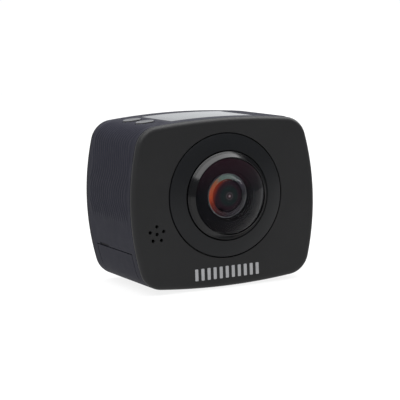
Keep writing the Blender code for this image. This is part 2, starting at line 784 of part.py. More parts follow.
def make_inner_frame():
    """A web behind the main board with four through posts, the bay's wall and the insert's foot."""
    start = WEB_OFFSET
    end = WEB_OFFSET + WEB_THICKNESS
    frame = prism("inner_frame", WALL + GAP, start, end, PARTS)
    low = -BODY_HEIGHT
    wall_left = bay_right() - BAY_WALL
    display_bottom = MIDDLE + display_top() - DISPLAY_SIZE[2]
    card_low, card_high = socket_span()
    foot_reach = FOOT_SIDE / 2 + GAP
    key_side = BUTTON_X + KEY_BOARD_SIZE[0] / 2 + WALL
    bay_bottom = battery_bottom()
    bay_top = bay_bottom + BATTERY_HEIGHT
    cut(
        frame,
        box("web_left", (-BODY_WIDTH, 0, low), (wall_left, BODY_DEPTH, 2 * BODY_HEIGHT)),
        box("web_keys", (-BODY_WIDTH, 0, bay_top + GAP), (key_side, BODY_DEPTH, 2 * BODY_HEIGHT)),
        box(
            "web_top",
            (-BODY_WIDTH, 0, display_bottom - 2 * GAP),
            (BODY_WIDTH, BODY_DEPTH, 2 * BODY_HEIGHT),
        ),
        box("web_card", (wall_left, 0, card_low - GAP), (board_left(), BODY_DEPTH, card_high + GAP)),
        box("web_foot", (-foot_reach, 0, low), (foot_reach, BODY_DEPTH, foot_bottom() + GAP)),
        box("web_door", (-BODY_WIDTH, 0, low), (HINGE_X + WALL, BODY_DEPTH, card_low)),
        centred_box(
            "web_connector",
            (0, 0, LENS_HEIGHT),
            (CONNECTOR_SIZE[0] + 2 * GAP, BODY_DEPTH, CONNECTOR_SIZE[1] + 2 * GAP),
        ),
    )
    reach = BATTERY_WIDTH / 2
    bay_wall = box(
        "bay_wall",
        (wall_left - SEAT_GAP, -reach, bay_bottom),
        (bay_right(), reach, bay_top),
    )
    join(frame, bay_wall)
    foot_top = foot_bottom() + FOOT_HEIGHT
    foot = box(
        "insert_foot",
        (-FOOT_SIDE / 2, -FOOT_SIDE / 2, foot_bottom()),
        (FOOT_SIDE / 2, FOOT_SIDE / 2, foot_top),
    )
    join(frame, foot)
    post_end = FACE - FACE_THICKNESS - BOSS_LENGTH - GAP
    for index, (x, z) in enumerate(screw_places(), start=1):
        join(frame, rod(f"post_{index}", (x, -post_end, z), (x, post_end, z), POST_RADIUS, 16))
    drill = SCREW_LENGTH
    for index, (x, z) in enumerate(screw_places(), start=1):
        for side, sign in SIDES:
            tip = (x, sign * (post_end - drill), z)
            mouth = (x, sign * (post_end + GAP), z)
            cut(frame, rod(f"{side}_post_hole_{index}", tip, mouth, SCREW_RADIUS + PIN_GAP, 10))
    cut(frame, rod("foot_bore", (0, 0, 0), (0, 0, foot_top + WALL), INSERT_RADIUS + GAP))
    finish(frame, "frame")


def foot_bottom():
    """The frame's foot sits just above the insert's flange."""
    return insert_flange_top() + GAP


def insert_flange_top():
    return BELLY_LIFT + WALL + GAP + INSERT_FLANGE


# ---------------------------------------------------------------- battery, card and door

def battery_middle_y():
    return (DOOR_FRONT + DOOR_REAR) / 2


def battery_left():
    """The battery's left face, clear of the door's seal at its upper edge."""
    return battery_right() - BATTERY_THICKNESS


def battery_right():
    return bay_right() - BAY_WALL - GAP


def battery_bottom():
    """The battery's underside, clear of the door where the housing's lower corner turns in."""
    seal_face = WALL + SEAT_GAP + SEAL_THICKNESS
    return MIDDLE - side_height(-battery_left(), seal_face) + BATTERY_LIFT


def make_battery():
    bottom = battery_bottom()
    low = (battery_left(), battery_middle_y() - BATTERY_WIDTH / 2, bottom)
    high = (battery_right(), battery_middle_y() + BATTERY_WIDTH / 2, bottom + BATTERY_HEIGHT)
    size = Vector(high) - Vector(low)
    middle = (Vector(high) + Vector(low)) / 2
    battery = rounded_box("battery", middle, size, BATTERY_ROUND)
    finish(battery, "battery")
    block_middle = (middle.x, middle.y, high[2] + GAP + CONTACT_SIZE[2] / 2)
    contacts = centred_box("battery_contacts", block_middle, CONTACT_SIZE, PARTS)
    for index in range(CONTACT_BLADES):
        place = middle.y + (index - (CONTACT_BLADES - 1) / 2) * BLADE_PITCH
        blade_middle = (middle.x, place, block_middle[2])
        join(contacts, centred_box(f"contact_blade_{index}", blade_middle, BLADE_SIZE))
    finish(contacts, "brass")


def socket_span():
    """Lowest and highest point of the card socket."""
    low = battery_bottom() + SOCKET_LIFT
    return low, low + CARD_SIZE[2] - CARD_STICKS_OUT + 2 * GAP + SOCKET_WALL


def make_card_socket():
    low, high = socket_span()
    left = socket_left()
    right = board_left() - GAP
    half = CARD_SIZE[1] / 2 + GAP + 4 * SOCKET_WALL
    socket = box("card_socket", (left, -half, low), (right, half, high), PARTS)
    slot_side = CARD_SIZE[1] / 2 + GAP / 2
    slot = box(
        "card_slot",
        (left + SOCKET_WALL - SEAT_GAP, -slot_side, low - WALL),
        (right - SOCKET_WALL + SEAT_GAP, slot_side, high - SOCKET_WALL - GAP / 2),
    )
    cut(socket, slot)
    finish(socket, "steel")
    middle = ((left + right) / 2, 0, low - CARD_STICKS_OUT + CARD_SIZE[2] / 2)
    card = rounded_box("memory_card", middle, CARD_SIZE, SEAT_GAP)
    finish(card, "chip")


def hinge_axis():
    """The hinge line: the barrel is as thick as the wall and lies flush in it."""
    return Vector((HINGE_X, 0.0, MIDDLE - top_z(HINGE_X) + WALL / 2))


def hinge_bore(name, radius, start):
    axis = hinge_axis()
    end = DOOR_REAR + HINGE_PIN_END
    return rod(name, (axis.x, start, axis.z), (axis.x, end, axis.z), radius, 16)


def make_door():
    """A piece of the band's own wall that wraps the lower left corner and swings on a pin."""
    front = DOOR_FRONT + GAP
    rear = DOOR_REAR - GAP
    door = ring_prism("battery_door", 0.0, WALL, front, rear, PARTS)
    top = MIDDLE - BODY_HEIGHT / 2 + DOOR_TOP - GAP
    axis = hinge_axis()
    region = box("door_region", (-BODY_WIDTH, front - WALL, -BODY_HEIGHT), (HINGE_X, rear + WALL, top))
    combine(door, region, "INTERSECT")
    barrel = rod(
        "door_barrel", (axis.x, front, axis.z), (axis.x, rear, axis.z), WALL / 2 - SEAT_GAP / 2, 24
    )
    join(door, barrel)
    cut(door, hinge_bore("door_bore", HINGE_PIN_RADIUS + PIN_GAP, front - WALL))
    shade_smooth(door)
    moved_to(door, axis)
    finish(door, "grip")
    pin_start = (axis.x, -BAND_EDGE + GAP, axis.z)
    pin_end = (axis.x, DOOR_REAR + HINGE_PIN_END - GAP, axis.z)
    pin = rod("door_hinge_pin", pin_start, pin_end, HINGE_PIN_RADIUS, 12, PARTS)
    finish(pin, "steel")
    make_door_seal(front, rear, top)


def make_door_seal(front, rear, top):
    """A rubber frame glued to the door's inner face, just inside the opening."""
    inner = WALL + SEAT_GAP
    seal = ring_prism(
        "door_seal", inner, inner + SEAL_THICKNESS, front + GAP, rear - GAP, PARTS
    )
    right = HINGE_X - SEAL_HINGE_SETBACK
    region = box(
        "seal_region", (-BODY_WIDTH, front - WALL, -BODY_HEIGHT), (right, rear + WALL, top - 2 * GAP)
    )
    combine(seal, region, "INTERSECT")
    window = box(
        "seal_window",
        (-BODY_WIDTH, front + GAP + SEAL_WIDTH, -BODY_HEIGHT),
        (right - SEAL_WIDTH, rear - GAP - SEAL_WIDTH, top - 2 * GAP - SEAL_WIDTH),
    )
    cut(seal, window)
    moved_to(seal, hinge_axis())
    finish(seal, "rubber")


# ---------------------------------------------------------------- display and buttons

def window_bottom():
    """The window's flat underside, above the body's middle."""
    return top_z(WINDOW_LENGTH / 2) - WINDOW_EDGE


def window_pocket():
    reach = Vector((WINDOW_LENGTH / 2 + GAP, WINDOW_WIDTH / 2 + GAP))
    floor = MIDDLE + window_bottom() - SEAT_GAP
    return box("window_pocket", (-reach.x, -reach.y, floor), (reach.x, reach.y, 2 * BODY_HEIGHT))


def window_view():
    reach = Vector((WINDOW_LENGTH / 2 - WINDOW_LEDGE, WINDOW_WIDTH / 2 - WINDOW_LEDGE))
    return box("window_view", (-reach.x, -reach.y, MIDDLE), (reach.x, reach.y, 2 * BODY_HEIGHT))


def display_top():
    """The display lies just under the band's roof, above the body's middle."""
    return top_z(DISPLAY_SIZE[0] / 2, WALL) - GAP


def make_display():
    """A clear window whose upper face follows the housing, and the display under it."""
    window = prism("display_window", 0.0, -WINDOW_WIDTH / 2, WINDOW_WIDTH / 2, PARTS)
    region = box(
        "window_region",
        (-WINDOW_LENGTH / 2, -BODY_DEPTH, MIDDLE + window_bottom()),
        (WINDOW_LENGTH / 2, BODY_DEPTH, 2 * BODY_HEIGHT),
    )
    combine(window, region, "INTERSECT")
    shade_smooth(window)
    finish(window, "window")
    middle = (0, 0, MIDDLE + display_top() - DISPLAY_SIZE[2] / 2)
    finish(rounded_box("display_module", middle, DISPLAY_SIZE, GAP), "chip")


def button_places():
    return (("power_button", BUTTON_PITCH / 2), ("mode_button", -BUTTON_PITCH / 2))


def button_frame(y):
    """A frame on the housing's roof at the buttons, with Z square to the surface there."""
    tilt = math.asin(BUTTON_X / TOP_ARC)
    return Matrix.Translation((BUTTON_X, y, MIDDLE + top_z(BUTTON_X))) @ Matrix.Rotation(tilt, 4, "Y")


def placed(obj, frame):
    obj.matrix_world = frame
    return obj


def make_buttons():
    """Two sprung caps held by their flanges under the roof, each above its own switch."""
    under = -(WALL + 2 * GAP)
    flange_bottom = under - BUTTON_FLANGE
    tip = flange_bottom - BUTTON_STEM
    knob_top = tip - BUTTON_TRAVEL - SEAT_GAP
    flange_radius = BUTTON_RADIUS + BUTTON_FLANGE
    dish_radius = BUTTON_RADIUS**2 / (2 * BUTTON_DISH)
    dish_height = BUTTON_RISE - BUTTON_DISH + dish_radius
    for name, y in button_places():
        frame = button_frame(y)
        cap_ends = ((0, 0, under - BUTTON_FLANGE / 2), (0, 0, BUTTON_RISE))
        button = placed(rod(name, *cap_ends, BUTTON_RADIUS, 24, PARTS), frame)
        flange = rod(f"{name}_flange", (0, 0, flange_bottom), (0, 0, under), flange_radius, 24)
        stem = rod(f"{name}_stem", (0, 0, tip), (0, 0, flange_bottom + GAP), BUTTON_STEM_RADIUS, 12)
        join(button, placed(flange, frame), placed(stem, frame))
        dish = lens_cutter(f"{name}_dish", dish_height, dish_radius)
        cut(button, placed(dish, frame))
        shade_smooth(button)
        finish(button, "shell")
        make_key_switch(name.replace("button", "key_switch"), knob_top, frame)
    make_key_board(knob_top - SWITCH_KNOB - SWITCH_HEIGHT - SEAT_GAP)


def lens_cutter(name, height, radius):
    """The lower part of a large ball, which leaves a finger dish in a button's top."""
    rim = BUTTON_RADIUS + BUTTON_DISH
    reach = math.asin(rim / radius)
    rings = 3
    bm = bmesh.new()
    bmesh.ops.create_uvsphere(bm, u_segments=24, v_segments=rings * 2, radius=1.0)
    for vert in bm.verts:
        polar = math.acos(max(-1.0, min(1.0, vert.co.z)))
        if polar > math.pi / 2 + 0.01:
            angle = reach * (math.pi - polar) / (math.pi / 2)
            ring = Vector((vert.co.x, vert.co.y))
            ring = ring.normalized() * radius * math.sin(angle) if ring.length > 1e-6 else ring
            vert.co = (ring.x, ring.y, height - radius * math.cos(angle))
        else:
            ring = Vector((vert.co.x, vert.co.y)) * rim
            vert.co = (ring.x, ring.y, height - radius * math.cos(reach) + vert.co.z * WALL)
    return as_object(name, bm, CUTTERS)


def make_key_switch(name, knob_top, frame):
    body_top = knob_top - SWITCH_KNOB
    middle = (0, 0, body_top - SWITCH_HEIGHT / 2)
    switch = centred_box(name, middle, (SWITCH_SIDE, SWITCH_SIDE, SWITCH_HEIGHT), PARTS)
    knob_ends = ((0, 0, body_top - GAP), (0, 0, knob_top))
    knob = rod(f"{name}_knob", *knob_ends, SWITCH_KNOB_RADIUS, 12)
    join(placed(switch, frame), placed(knob, frame))
    finish(switch, "steel")


def make_key_board(top):
    """A small board under the two buttons, with the microphone between the switches."""
    frame = button_frame(0)
    size = (KEY_BOARD_SIZE[0], KEY_BOARD_SIZE[1], BOARD_THICKNESS)
    board = placed(centred_box("key_board", (0, 0, top - BOARD_THICKNESS / 2), size, PARTS), frame)
    finish(board, "board")
    middle = (0, 0, top + SEAT_GAP + MICROPHONE_SIZE[2] / 2)
    microphone = placed(centred_box("microphone", middle, MICROPHONE_SIZE, PARTS), frame)
    finish(microphone, "steel")


# ---------------------------------------------------------------- sound, antenna, ports, underside

def make_speaker():
    x, z = HOLE_CENTRE
    start = -(FACE - FACE_THICKNESS - GAP)
    ends = ((x, start, MIDDLE + z), (x, start + SPEAKER_THICKNESS, MIDDLE + z))
    speaker = rod("speaker", *ends, SPEAKER_RADIUS, 28, PARTS)
    shade_smooth(speaker)
    finish(speaker, "black_metal")


def make_antenna():
    left = DISPLAY_SIZE[0] / 2 + WALL
    _, _, corner = arc_centres()
    right = corner.x + GAP
    top = MIDDLE + top_z(right, WALL) - 3 * GAP
    low = (left, -ANTENNA_WIDTH / 2, top - ANTENNA_THICKNESS)
    antenna = box("antenna", low, (right, ANTENNA_WIDTH / 2, top), PARTS)
    finish(antenna, "copper")


def ports():
    return (("usb_port", USB_SIZE, USB_HEIGHT), ("hdmi_port", HDMI_SIZE, HDMI_HEIGHT))


def port_y(size):
    """Ports stand on the main board's front face."""
    return -(MAIN_BOARD_THICKNESS / 2 + SEAT_GAP + size[1] / 2)


def make_ports():
    for name, size, height in ports():
        outer = side_x(abs(height) + size[2] / 2, WALL + GAP)
        middle = Vector((outer - size[0] / 2, port_y(size), MIDDLE + height))
        port = centred_box(name, middle, size, PARTS)
        inside = Vector(size) - Vector((PORT_WALL, 2 * PORT_WALL, 2 * PORT_WALL))
        hollow = centred_box(f"{name}_hollow", middle + Vector((PORT_WALL, 0, 0)), inside)
        tongue_size = (size[0] * TONGUE_LENGTH, inside.y * TONGUE_THICKNESS, inside.z * TONGUE_WIDTH)
        cut(hollow, centred_box(f"{name}_tongue", middle - Vector((size[0] / 4, 0, 0)), tongue_size))
        cut(port, hollow)
        finish(port, "steel")


def base_screws():
    return (("base_screw_left", -BASE_SCREW_X), ("base_screw_right", BASE_SCREW_X))


def make_underside():
    """A flat plate to stand on, and a brass insert for a tripod screw."""
    reach = Vector((BASE_LENGTH / 2, BASE_WIDTH / 2, BASE_THICKNESS))
    plate = box("base_plate", (-reach.x, -reach.y, 0), reach, PARTS)
    cut(plate, rod("plate_insert_hole", (0, 0, -WALL), (0, 0, WALL), INSERT_RADIUS + GAP, 32))
    for name, x in base_screws():
        seat = SCREW_HEAD_HEIGHT + SEAT_GAP
        head_seat = rod(f"{name}_seat", (x, 0, -WALL), (x, 0, seat), SCREW_HEAD_RADIUS + GAP / 2, 16)
        shank_hole = rod(f"{name}_plate_hole", (x, 0, -WALL), (x, 0, WALL), SCREW_RADIUS + PIN_GAP, 10)
        cut(plate, head_seat, shank_hole)
        pan_screw(name, (x, 0, SEAT_GAP / 2), (0, 0, 1), BASE_SCREW_LENGTH)
    finish(plate, "black_metal")
    top = INSERT_SINK + INSERT_BORE_DEPTH + INSERT_ROOF
    insert = rod("tripod_insert", (0, 0, INSERT_SINK), (0, 0, top), INSERT_RADIUS, 32, PARTS)
    flange_ends = ((0, 0, insert_flange_top() - INSERT_FLANGE), (0, 0, insert_flange_top()))
    join(insert, rod("insert_flange", *flange_ends, INSERT_FLANGE_RADIUS, 32))
    bore_end = INSERT_SINK + INSERT_BORE_DEPTH
    cut(insert, rod("insert_bore", (0, 0, -WALL), (0, 0, bore_end), INSERT_BORE_RADIUS, 32))
    shade_smooth(insert)
    finish(insert, "brass")


def main():
    clear_scene()
    for name, values in FINISHES.items():
        material(name, *values)
    make_side_band()
    for side, sign in SIDES:
        make_cover(side, sign)
        make_lens_stack(side, sign)
        make_sensor_board(side, sign)
        make_cover_screws(side, sign)
    make_main_board()
    make_inner_frame()
    make_battery()
    make_card_socket()
    make_door()
    make_display()
    make_buttons()
    make_speaker()
    make_antenna()
    make_ports()
    make_underside()


main()
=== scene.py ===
# %% [markdown]
# # An action camera with a fisheye lens on each face
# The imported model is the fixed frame: every piece made here goes where a part of that frame is, and
# rides on the body that the part belongs to. The lesson then makes the pieces that show: two face
# shells, a grip band with wavy ribs, the lens stacks, a display window, two buttons, a corner door
# and a printed scale. The parts inside keep their shape from the frame and get a finish each.

# %% Load the frame
import math

import bmesh
import bpy
from mathutils import Matrix, Vector


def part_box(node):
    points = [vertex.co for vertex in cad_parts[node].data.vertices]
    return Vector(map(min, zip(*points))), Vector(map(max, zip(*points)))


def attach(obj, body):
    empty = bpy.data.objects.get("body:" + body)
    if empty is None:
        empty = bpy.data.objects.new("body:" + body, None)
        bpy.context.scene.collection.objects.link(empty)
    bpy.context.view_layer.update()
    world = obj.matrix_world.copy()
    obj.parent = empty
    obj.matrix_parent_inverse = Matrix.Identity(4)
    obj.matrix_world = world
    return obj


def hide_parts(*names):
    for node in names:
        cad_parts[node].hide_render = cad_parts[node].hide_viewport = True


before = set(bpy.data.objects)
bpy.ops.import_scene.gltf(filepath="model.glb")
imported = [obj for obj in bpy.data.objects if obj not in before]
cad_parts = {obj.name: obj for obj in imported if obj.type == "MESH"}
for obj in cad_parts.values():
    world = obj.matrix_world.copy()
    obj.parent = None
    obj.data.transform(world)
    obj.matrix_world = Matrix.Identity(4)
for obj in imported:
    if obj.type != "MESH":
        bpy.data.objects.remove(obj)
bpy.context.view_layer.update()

mm = 0.001
tiny = 0.001 * mm  # points nearer to each other than this are one point
print("nodes in the frame:", len(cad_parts))

# %% [markdown]
# ## Driving sizes
# Places come from the frame's own boxes, so a piece lands where its part is. The band tells the
# middle of the housing, the covers tell where the faces are, and each lens ring tells its axis.
# Only sizes that a box can't tell, such as the arcs of the outline, are written as numbers.

# %% Sizes read from the frame
band_low, band_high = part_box("side_band")
cover_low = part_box("front_cover")[0]
surround_low, surround_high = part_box("front_lens_surround")
bezel_low, bezel_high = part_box("front_bezel_ring")
dome_low, dome_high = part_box("front_lens_dome")
door_low, door_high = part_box("battery_door")
window_low, window_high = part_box("display_window")

half_width = band_high.x
half_height = (band_high.z - band_low.z) / 2
middle = (band_high.z + band_low.z) / 2
face = -cover_low.y
band_edge = band_high.y
lens_height = (surround_low.z + surround_high.z) / 2
surround_radius = (surround_high.z - surround_low.z) / 2
surround_rise = -surround_low.y - face
bezel_radius = (bezel_high.z - bezel_low.z) / 2
bezel_rise = -bezel_low.y - face
dome_radius = (dome_high.z - dome_low.z) / 2
dome_rise = -dome_low.y - face

top_arc = 208.0 * mm
side_arc = 74.2 * mm
corner_radius = 7.1 * mm
wall = 2.0 * mm
cover_thickness = 1.8 * mm
gap = 0.3 * mm
for name, value in (("middle", middle), ("lens axis", lens_height), ("face", face)):
    print(name, "in mm:", round(value / mm, 2))

# %% [markdown]
# ## Small helpers for working as by hand
# An operator acts on whatever is selected, and the frame's nodes are selected after loading. So one
# helper takes a piece alone in hand, one opens it for editing with nothing selected, and two pick
# points or edges by their place, letting go of what was picked before. The last one applies what
# modifiers and moves have been put on a piece.

# %% Helpers: take, edit, pick, apply
def take(*pieces):
    """Selects these pieces and nothing else; the first one is active."""
    bpy.ops.object.select_all(action="DESELECT")
    for piece in pieces:
        piece.select_set(True)
    bpy.context.view_layer.objects.active = pieces[0]
    return pieces[0]


def edit(piece):
    """Opens a piece for editing with nothing selected."""
    take(piece)
    bpy.ops.object.mode_set(mode="EDIT")
    bpy.ops.mesh.select_all(action="DESELECT")


def pick(piece, wanted):
    """Selects the points of the open piece whose place passes the test, and what joins them."""
    bpy.ops.mesh.select_mode(type="VERT")
    bpy.ops.mesh.select_all(action="DESELECT")
    mesh = bmesh.from_edit_mesh(piece.data)
    for vert in mesh.verts:
        vert.select_set(bool(wanted(vert.co)))
    mesh.select_flush(True)
    bmesh.update_edit_mesh(piece.data)


def pick_edges(piece, wanted):
    """Selects the edges of the open piece whose two ends pass the test."""
    bpy.ops.mesh.select_mode(type="EDGE")
    bpy.ops.mesh.select_all(action="DESELECT")
    mesh = bmesh.from_edit_mesh(piece.data)
    for line in mesh.edges:
        line.select_set(bool(wanted(line.verts[0].co, line.verts[1].co)))
    mesh.select_flush_mode()
    bmesh.update_edit_mesh(piece.data)


def close_edit():
    """Goes back from editing a mesh to handling whole pieces."""
    bpy.ops.object.mode_set(mode="OBJECT")


def tidy_mesh(piece):
    """Merges doubled points and turns every face outwards."""
    edit(piece)
    bpy.ops.mesh.select_all(action="SELECT")
    bpy.ops.mesh.remove_doubles(threshold=tiny)
    bpy.ops.mesh.normals_make_consistent(inside=False)
    close_edit()


def settle(piece):
    """Applies the piece's modifiers and its own place, so that its object sits at the origin."""
    take(piece)
    for modifier in list(piece.modifiers):
        bpy.ops.object.modifier_apply(modifier=modifier.name)
    bpy.ops.object.transform_apply(location=True, rotation=True, scale=True)
    return piece


def report(piece):
    """Prints a piece's name and how many triangles it has."""
    triangles = sum(len(polygon.vertices) - 2 for polygon in piece.data.polygons)
    print(f"{piece.name}: {triangles} triangles")
    return piece


# %% Helpers: rounding, cutting, copying
def round_edges(piece, width, segments, angle):
    """Rounds the edges at which the faces turn by more than this angle, in degrees."""
    bevel = piece.modifiers.new("rounding", "BEVEL")
    bevel.width = width
    bevel.segments = segments
    bevel.limit_method = "ANGLE"
    bevel.angle_limit = math.radians(angle)
    return settle(piece)


def smooth(piece, angle, weighted=False):
    """Smooth shading with sharp edges kept; weighted keeps large flat faces flat to the eye."""
    take(piece)
    bpy.ops.object.shade_smooth_by_angle(angle=math.radians(angle))
    if weighted:
        weights = piece.modifiers.new("face weights", "WEIGHTED_NORMAL")
        weights.keep_sharp = True
        bpy.ops.object.modifier_apply(modifier=weights.name)
    return piece


def keep_flat(piece):
    """Leaves the large faces square to the lens axis unsmoothed, so they stay flat to the eye."""
    square_enough = 0.9999
    large_enough = 0.5 * mm * mm
    for polygon in piece.data.polygons:
        if abs(polygon.normal.y) > square_enough and polygon.area > large_enough:
            polygon.use_smooth = False
    return piece


def boolean(piece, tool, operation="DIFFERENCE"):
    """Cuts a piece with a tool, adds the tool to it, or keeps what both share."""
    take(piece)
    step = piece.modifiers.new(operation.lower(), "BOOLEAN")
    step.operation = operation
    step.solver = "EXACT"
    step.object = tool
    bpy.ops.object.modifier_apply(modifier=step.name)
    bpy.data.objects.remove(tool, do_unlink=True)
    return piece


def joined(name, pieces):
    """Makes one piece of several."""
    take(*pieces)
    bpy.ops.object.join()
    bpy.context.object.name = name
    return bpy.context.object


def block(name, low, high):
    """A block between two corners, as a start for a piece or as a cutting tool."""
    low = Vector(low)
    high = Vector(high)
    bpy.ops.object.select_all(action="DESELECT")
    bpy.ops.mesh.primitive_cube_add(size=1.0, location=(low + high) / 2, scale=high - low)
    bpy.context.object.name = name
    return settle(bpy.context.object)


def bar(name, start, end, radius, sides=48):
    """A round bar from one point to another, as a start for a piece or as a cutting tool."""
    start = Vector(start)
    run = Vector(end) - start
    bpy.ops.object.select_all(action="DESELECT")
    bpy.ops.mesh.primitive_cylinder_add(
        vertices=sides,
        radius=radius,
        depth=run.length,
        location=start + run / 2,
        rotation=run.to_track_quat("Z", "Y").to_euler(),
    )
    bpy.context.object.name = name
    return settle(bpy.context.object)


def turned_copy(piece, name):
    """The rear twin of a front piece: a copy with its own mesh, half a turn about the upright."""
    take(piece)
    bpy.ops.object.duplicate(linked=False)
    twin = bpy.context.object
    twin.name = name
    twin.rotation_euler = (0, 0, math.pi)
    return settle(twin)


# %% [markdown]
# ## A turned piece
# Lens rings and lenses are turned on a lathe, and so are they here: a single point is walked along
# half of the section, and the line it leaves is spun once round. The section lists radius and
# height above the face. The finished piece is then tipped to look out of the front face.

# %% Helpers: turn a section, face it forwards
def turn(name, section, steps):
    """Spins a section of (radius, height) points about the upright axis, closed off the axis."""
    bpy.ops.object.select_all(action="DESELECT")
    bpy.ops.mesh.primitive_plane_add(size=mm)
    piece = bpy.context.object
    piece.name = name
    bpy.ops.object.mode_set(mode="EDIT")
    bpy.ops.mesh.select_all(action="SELECT")
    bpy.ops.mesh.merge(type="CENTER")
    bpy.ops.transform.translate(value=(section[0][0], 0, section[0][1]))
    for (radius, height), (next_radius, next_height) in zip(section, section[1:]):
        step = (next_radius - radius, 0, next_height - height)
        bpy.ops.mesh.extrude_vertices_move(TRANSFORM_OT_translate={"value": step})
    if section[0][0] > 0 or section[-1][0] > 0:
        ends = [Vector((radius, 0, height)) for radius, height in (section[0], section[-1])]
        pick(piece, lambda place: min((place - end).length for end in ends) < tiny / 2)
        bpy.ops.mesh.edge_face_add()
    bpy.ops.mesh.select_all(action="SELECT")
    bpy.ops.mesh.spin(steps=steps, angle=2 * math.pi, center=(0, 0, 0), axis=(0, 0, 1))
    close_edit()
    tidy_mesh(piece)
    return piece


def face_forward(piece):
    """Tips a piece turned about the upright axis so that it looks out of the front face."""
    piece.rotation_euler = (math.pi / 2, 0, 0)
    piece.location = (0, -face, lens_height)
    return settle(piece)


def cap(radius, sagitta, rim, steps):
    """Section points of a bulging glass face, from its rim to its top on the axis."""
    ball = (radius**2 + sagitta**2) / (2 * sagitta)
    reach = math.asin(radius / ball)
    top = rim + sagitta
    angles = [reach * (steps - index) / steps for index in range(steps)]
    points = [(ball * math.sin(angle), top - ball + ball * math.cos(angle)) for angle in angles]
    return points + [(0.0, top)]


# %% [markdown]
# ## The barrel outline
# The housing is not a rounded rectangle: its sides and its top are wide arcs, and a small arc joins
# them at each corner. One quarter is measured along its three arcs and mirrored for the others, so
# any share of the way round gives a point, and the points come evenly spaced.

# %% Helper: a point of the outline
def arc_meetings():
    """The corner arc's centre, and the angles at which it meets the side arc and the top arc."""
    side = Vector((half_width - side_arc, 0))
    top = Vector((0, half_height - top_arc))
    to_side = side_arc - corner_radius
    to_top = top_arc - corner_radius
    between = top - side
    along = (to_side**2 - to_top**2 + between.length_squared) / (2 * between.length)
    across = math.sqrt(to_side**2 - along**2)
    direction = between.normalized()
    sideways = Vector((-direction.y, direction.x))
    corner = side + direction * along + sideways * across
    if corner.x < 0 or corner.y < 0:
        corner -= 2 * sideways * across
    side_end = math.atan2(corner.y - side.y, corner.x - side.x)
    top_end = math.atan2(corner.y - top.y, corner.x - top.x)
    return corner, side_end, top_end


corner_centre, side_end, top_end = arc_meetings()
side_run = side_arc * side_end
corner_run = corner_radius * (top_end - side_end)
top_run = top_arc * (math.pi / 2 - top_end)
quarter_run = side_run + corner_run + top_run


def outline_point(share):
    """X and height above the middle after a share of the way round, from the right side."""
    turns = (share % 1.0) * 4
    quarter = int(turns)
    part = turns - quarter
    run = quarter_run * (part if quarter % 2 == 0 else 1 - part)
    if run < side_run:
        angle = run / side_arc
        x = half_width - side_arc + side_arc * math.cos(angle)
        z = side_arc * math.sin(angle)
    elif run < side_run + corner_run:
        angle = side_end + (run - side_run) / corner_radius
        x = corner_centre.x + corner_radius * math.cos(angle)
        z = corner_centre.y + corner_radius * math.sin(angle)
    else:
        angle = top_end + (run - side_run - corner_run) / top_arc
        x = top_arc * math.cos(angle)
        z = half_height - top_arc + top_arc * math.sin(angle)
    return (x if quarter in (0, 3) else -x), (z if quarter in (0, 1) else -z)


def roof(x):
    """Height of the housing's roof at a distance from the middle."""
    return middle + half_height - top_arc + math.sqrt(top_arc**2 - x**2)


print("once round the housing in mm:", round(4 * quarter_run / mm, 1))

# %% [markdown]
# ## Camera
# The view is from the front left and a little above, through a long lens, so that the round faces
# stay round. The view also leans by two degrees. The camera's place is worked out from the angles
# and from its distance to the middle of the housing.

# %% Camera
camera_turn = math.radians(-25.931)
camera_rise = math.radians(7.708)
camera_lean = math.radians(-1.982)
camera_distance = 482.233 * mm
camera_shift = Vector((0.234 * mm, -1.091 * mm))
camera_lens = 143.0

back = Vector((
    math.sin(camera_turn) * math.cos(camera_rise),
    -math.cos(camera_turn) * math.cos(camera_rise),
    math.sin(camera_rise),
))
level_right = (-back).cross(Vector((0, 0, 1))).normalized()
level_up = level_right.cross(-back)
right = math.cos(camera_lean) * level_right + math.sin(camera_lean) * level_up
up = math.cos(camera_lean) * level_up - math.sin(camera_lean) * level_right
body_middle = Vector((0, 0, middle))
camera_place = body_middle + camera_distance * back + camera_shift.x * right + camera_shift.y * up

camera_data = bpy.data.cameras.new("camera_view")
camera_data.lens = camera_lens
camera_data.sensor_width = 36.0
camera_data.clip_start = 10 * mm
camera_data.clip_end = 50.0
camera = bpy.data.objects.new("camera_view", camera_data)
bpy.context.scene.collection.objects.link(camera)
camera_axes = Matrix((right, up, back)).transposed().to_4x4()
camera.matrix_world = Matrix.Translation(camera_place) @ camera_axes
bpy.context.scene.camera = camera
print("camera at", [round(value, 3) for value in camera_place])

# %% [markdown]
# ## Studio
# A product shot on white: a pale floor with a painted glow of its own, bright behind and dimming
# towards the front, a bright surround behind, and one long strip softbox overhead that runs from the
# front left to the back right. That strip draws the pale crescent on the glossy lens ring. A weak
# softbox at the front left lifts the upper corner of the face.

# %% Helper: bring a value from one range to another
def remap(nodes, wire, value, low, high, to_low=0.0, to_high=1.0):
    """A node that turns a range of one value into another range, and stops at its ends."""
    node = nodes.new("ShaderNodeMapRange")
    node.inputs["From Min"].default_value = low
    node.inputs["From Max"].default_value = high
    node.inputs["To Min"].default_value = to_low
    node.inputs["To Max"].default_value = to_high
    wire(value, node.inputs["Value"])
    return node


# %% Floor, with a painted glow that dims towards the front
bpy.context.scene.view_settings.view_transform = "Standard"
bpy.context.scene.view_settings.look = "None"

